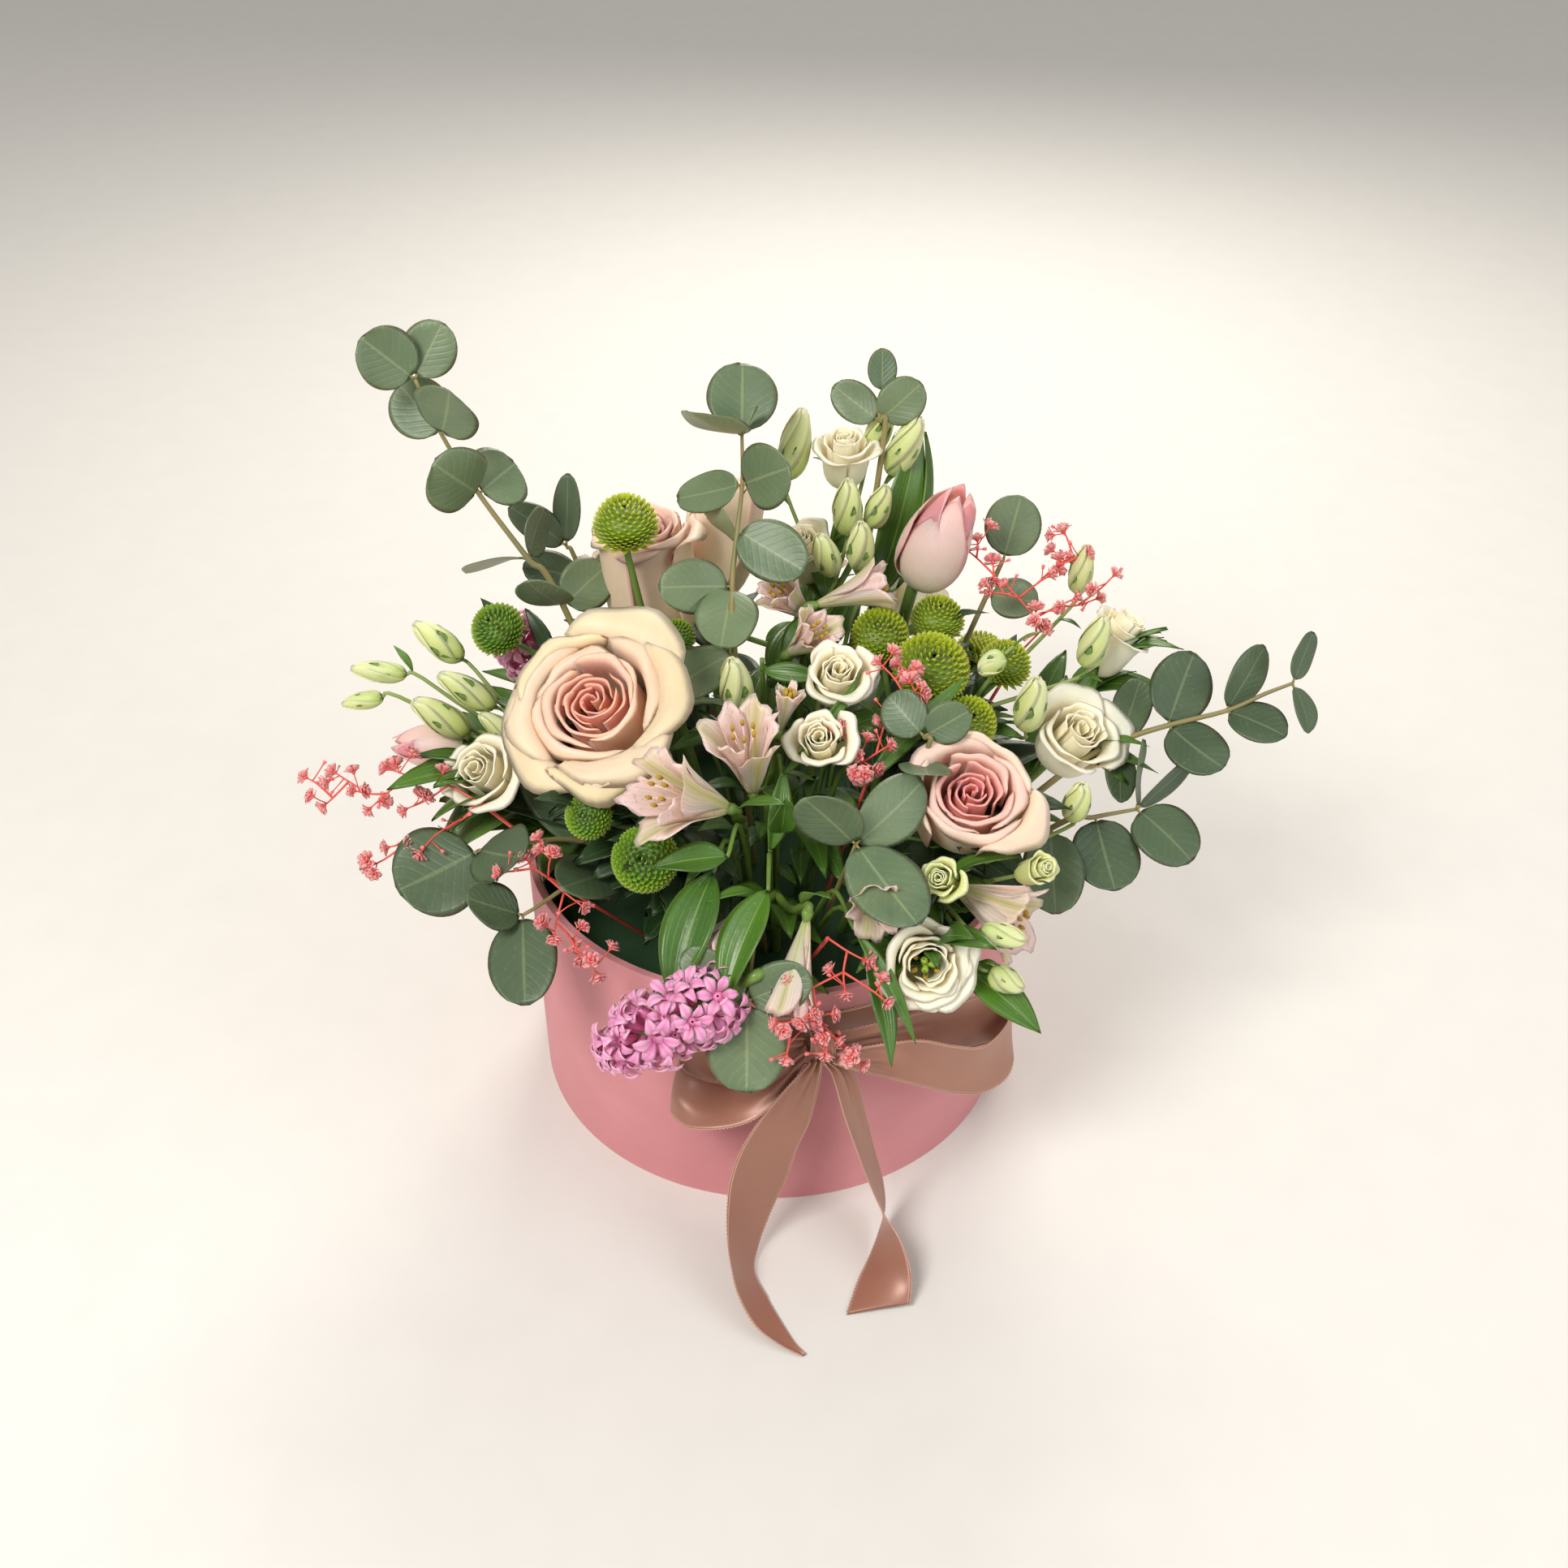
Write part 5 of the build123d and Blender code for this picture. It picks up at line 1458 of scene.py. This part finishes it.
def ribbon_strip(shape, stations, rows, pleats=2.0, seed=0, curl=0.7, raw=0.0):
    """A strip of ribbon through pairs of points on its two edges. Where it is narrower than the
    ribbon it is gathered, so its spare width stands in pleats."""
    left = smooth([station[0] for station in stations], rows)
    right = smooth([station[1] for station in stations], rows)
    middles = (left + right) / 2
    ahead = np.gradient(middles, axis=0)
    columns = 25
    v = np.linspace(-1, 1, columns)
    grid = np.zeros((rows, columns, 3))
    for i in range(rows):
        side = right[i] - left[i]
        width = np.linalg.norm(side)
        face = unit(np.cross(ahead[i], side))
        near_knot = i < rows * 0.4 or not raw
        spare = max(0.0, 0.85 - width / RIBBON_WIDTH) * near_knot
        fold = 2.2 * spare * np.sin(v * math.pi * pleats + seed) + curl * (v**2 - 0.5)
        grid[i] = middles[i] + np.outer(v / 2, side) + np.outer(fold, face)
    length = np.concatenate([[0], np.cumsum(np.linalg.norm(np.diff(middles, axis=0), axis=1))])
    tints = tint_grid(rows, columns, 0.5, 0.5)
    tints[..., 0] = (length / 1000)[:, None]
    shape.petal(grid, tints, 0.5, 0)
    return grid, length[-1]


def picot_edges(shape, grid, raw=0.0):
    """The looped stitches along both edges of the ribbon, except along a raw slanted cut."""
    for column, inner, share in ((0, 1, 1.0), (-1, -2, 1.0 - raw)):
        rows = int(len(grid) * share)
        edge, inside = grid[:rows, column], grid[:rows, inner]
        steps = np.linalg.norm(np.diff(edge, axis=0), axis=1)
        total = np.concatenate([[0], np.cumsum(steps)])
        count = int(total[-1] / 0.5)
        at = np.linspace(0, total[-1], count)
        line = np.stack([np.interp(at, total, edge[:, k]) for k in range(3)], axis=1)
        inner_line = np.stack([np.interp(at, total, inside[:, k]) for k in range(3)], axis=1)
        out = line - inner_line
        out /= np.maximum(np.linalg.norm(out, axis=1, keepdims=True), 1e-6)
        scallop = (np.arange(count) % 3 == 1) * 0.38
        shape.tube(line + out * scallop[:, None], 0.18 + scallop * 0.3, 1, sides=5)


def add_ribbon(name, stations, rows, seed, raw=0.0):
    shape = Shape()
    grid, length = ribbon_strip(shape, stations, rows, seed=seed, raw=raw)
    picot_edges(shape, grid, raw)
    piece = place(shape, name, [SATIN, THREAD], "satin_ribbon", "box")


def add_band():
    """The strip of ribbon glued flat to the wall behind the bow."""
    low, high = (vec(corner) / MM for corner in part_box("ribbon_band"))
    stations = []
    for bearing in np.linspace(KNOT_BEARING - BAND_REACH, KNOT_BEARING + BAND_REACH, 12):
        out = vec((math.cos(math.radians(bearing)), math.sin(math.radians(bearing)), 0)) * BAND_RADIUS
        stations.append((out + (0, 0, low[2]), out + (0, 0, high[2])))
    shape = Shape()
    grid, length = ribbon_strip(shape, stations, 80, curl=0.0)
    picot_edges(shape, grid)
    piece = place(shape, "ribbon_band", [SATIN, THREAD], "satin_ribbon", "box")


def add_knot():
    """The short wrap of ribbon that ties the bow: a band round the gathered strands."""
    shape = Shape()
    half = KNOT_HALF
    rows, columns = 33, 17
    turn = np.linspace(0, 2 * math.pi, rows)[:, None]
    v = np.linspace(-1, 1, columns)[None, :]
    pleat = 0.5 * np.sin(v * 9 + 0.6 * np.sin(turn)) + 0.3 * np.sin(v * 4 + turn * 1.0)
    lean = 0.16 * np.sin(turn)
    waist = 1 - 0.1 * np.cos(v * math.pi) * 0.5
    x = v * half[0] * (0.86 - 0.1 * np.cos(turn)) + lean * half[0]
    y = -(half[1] * 0.82 * waist + pleat) * np.sin(turn)
    z = (half[2] * 0.82 * waist + pleat) * np.cos(turn)
    grid = KNOT_AT + np.stack([x + 0 * turn, y, z], axis=-1)
    tints = tint_grid(rows, columns, 0.5, 0.5)
    tints[..., 0] *= 0.04
    shape.petal(grid, tints, 0.5, 0)
    picot_edges(shape, grid)
    for side in (-1, 1):
        core = [KNOT_AT + (side * half[0] * 0.8, 0, 0), KNOT_AT + (side * half[0] * 0.2, 0, 0)]
        shape.tube(core, [2.8, 4.2], 0, sides=12)
    outward = unit(KNOT_AT * (1, 1, 0))
    root = [KNOT_AT, KNOT_AT - outward * 5, outward * (BAND_RADIUS + 0.6) + (0, 0, KNOT_AT[2])]
    shape.tube(root, 3.6, 0, sides=12)
    piece = place(shape, "bow_knot", [SATIN, THREAD], "satin_ribbon", "box")


THREAD = grainy_paint("picot_thread", srgb(206, 164, 142), srgb(176, 132, 112), 0.5, 2500, 0.0001)


def add_bow():
    add_knot()
    add_ribbon("bow_loop_left", LEFT_LOOP, 130, 0.4)
    add_ribbon("bow_loop_right", RIGHT_LOOP, 150, 1.7)
    add_ribbon("ribbon_tail_left", LEFT_TAIL, 110, 0.9, raw=0.27)
    add_ribbon("ribbon_tail_right", RIGHT_TAIL, 100, 2.3, raw=0.001)


# ---- The box ----------------------------------------------------------------------------------------
def paint_box():
    """The box's own shells and the foam keep their CAD shapes and get their materials."""
    velvet = velvet_paint()
    board = grainy_paint("greyboard", srgb(150, 144, 136), srgb(128, 122, 114), 0.85, 900, 0.0002)
    paper = grainy_paint("paper", srgb(214, 176, 172), srgb(198, 158, 156), 0.8, 1400, 0.0001)
    foam = grainy_paint("wet_foam", srgb(44, 82, 46), srgb(26, 54, 30), 0.95, 1500, 0.0005)
    for name, material in {
        "velvet_wrap": velvet, "base_cover": paper, "box_base": board, "box_wall": board,
        "inner_lining": paper, "foam_liner": film_paint(), "floral_foam": foam,
    }.items():
        mesh = frame["nodes"][name].data
        mesh.materials.clear()
        mesh.materials.append(material)


def add_floor():
    mesh = bpy.data.meshes.new("floor")
    reach = FLOOR_REACH
    corners = [(-reach, -reach, 0), (reach, -reach, 0), (reach, reach, 0), (-reach, reach, 0)]
    mesh.from_pydata(corners, [], [(0, 1, 2, 3)])
    floor = bpy.data.objects.new("floor", mesh)
    bpy.context.scene.collection.objects.link(floor)
    mesh.materials.append(grainy_paint("floor", srgb(222, 219, 214), srgb(216, 213, 208), 0.8, 40, 0.0001))


add_camera()
add_studio()
add_floor()
paint_box()
add_band()
add_bow()
add_single_flowers()
add_sprays()
add_eucalyptus()
add_blades()
add_gypsophila()
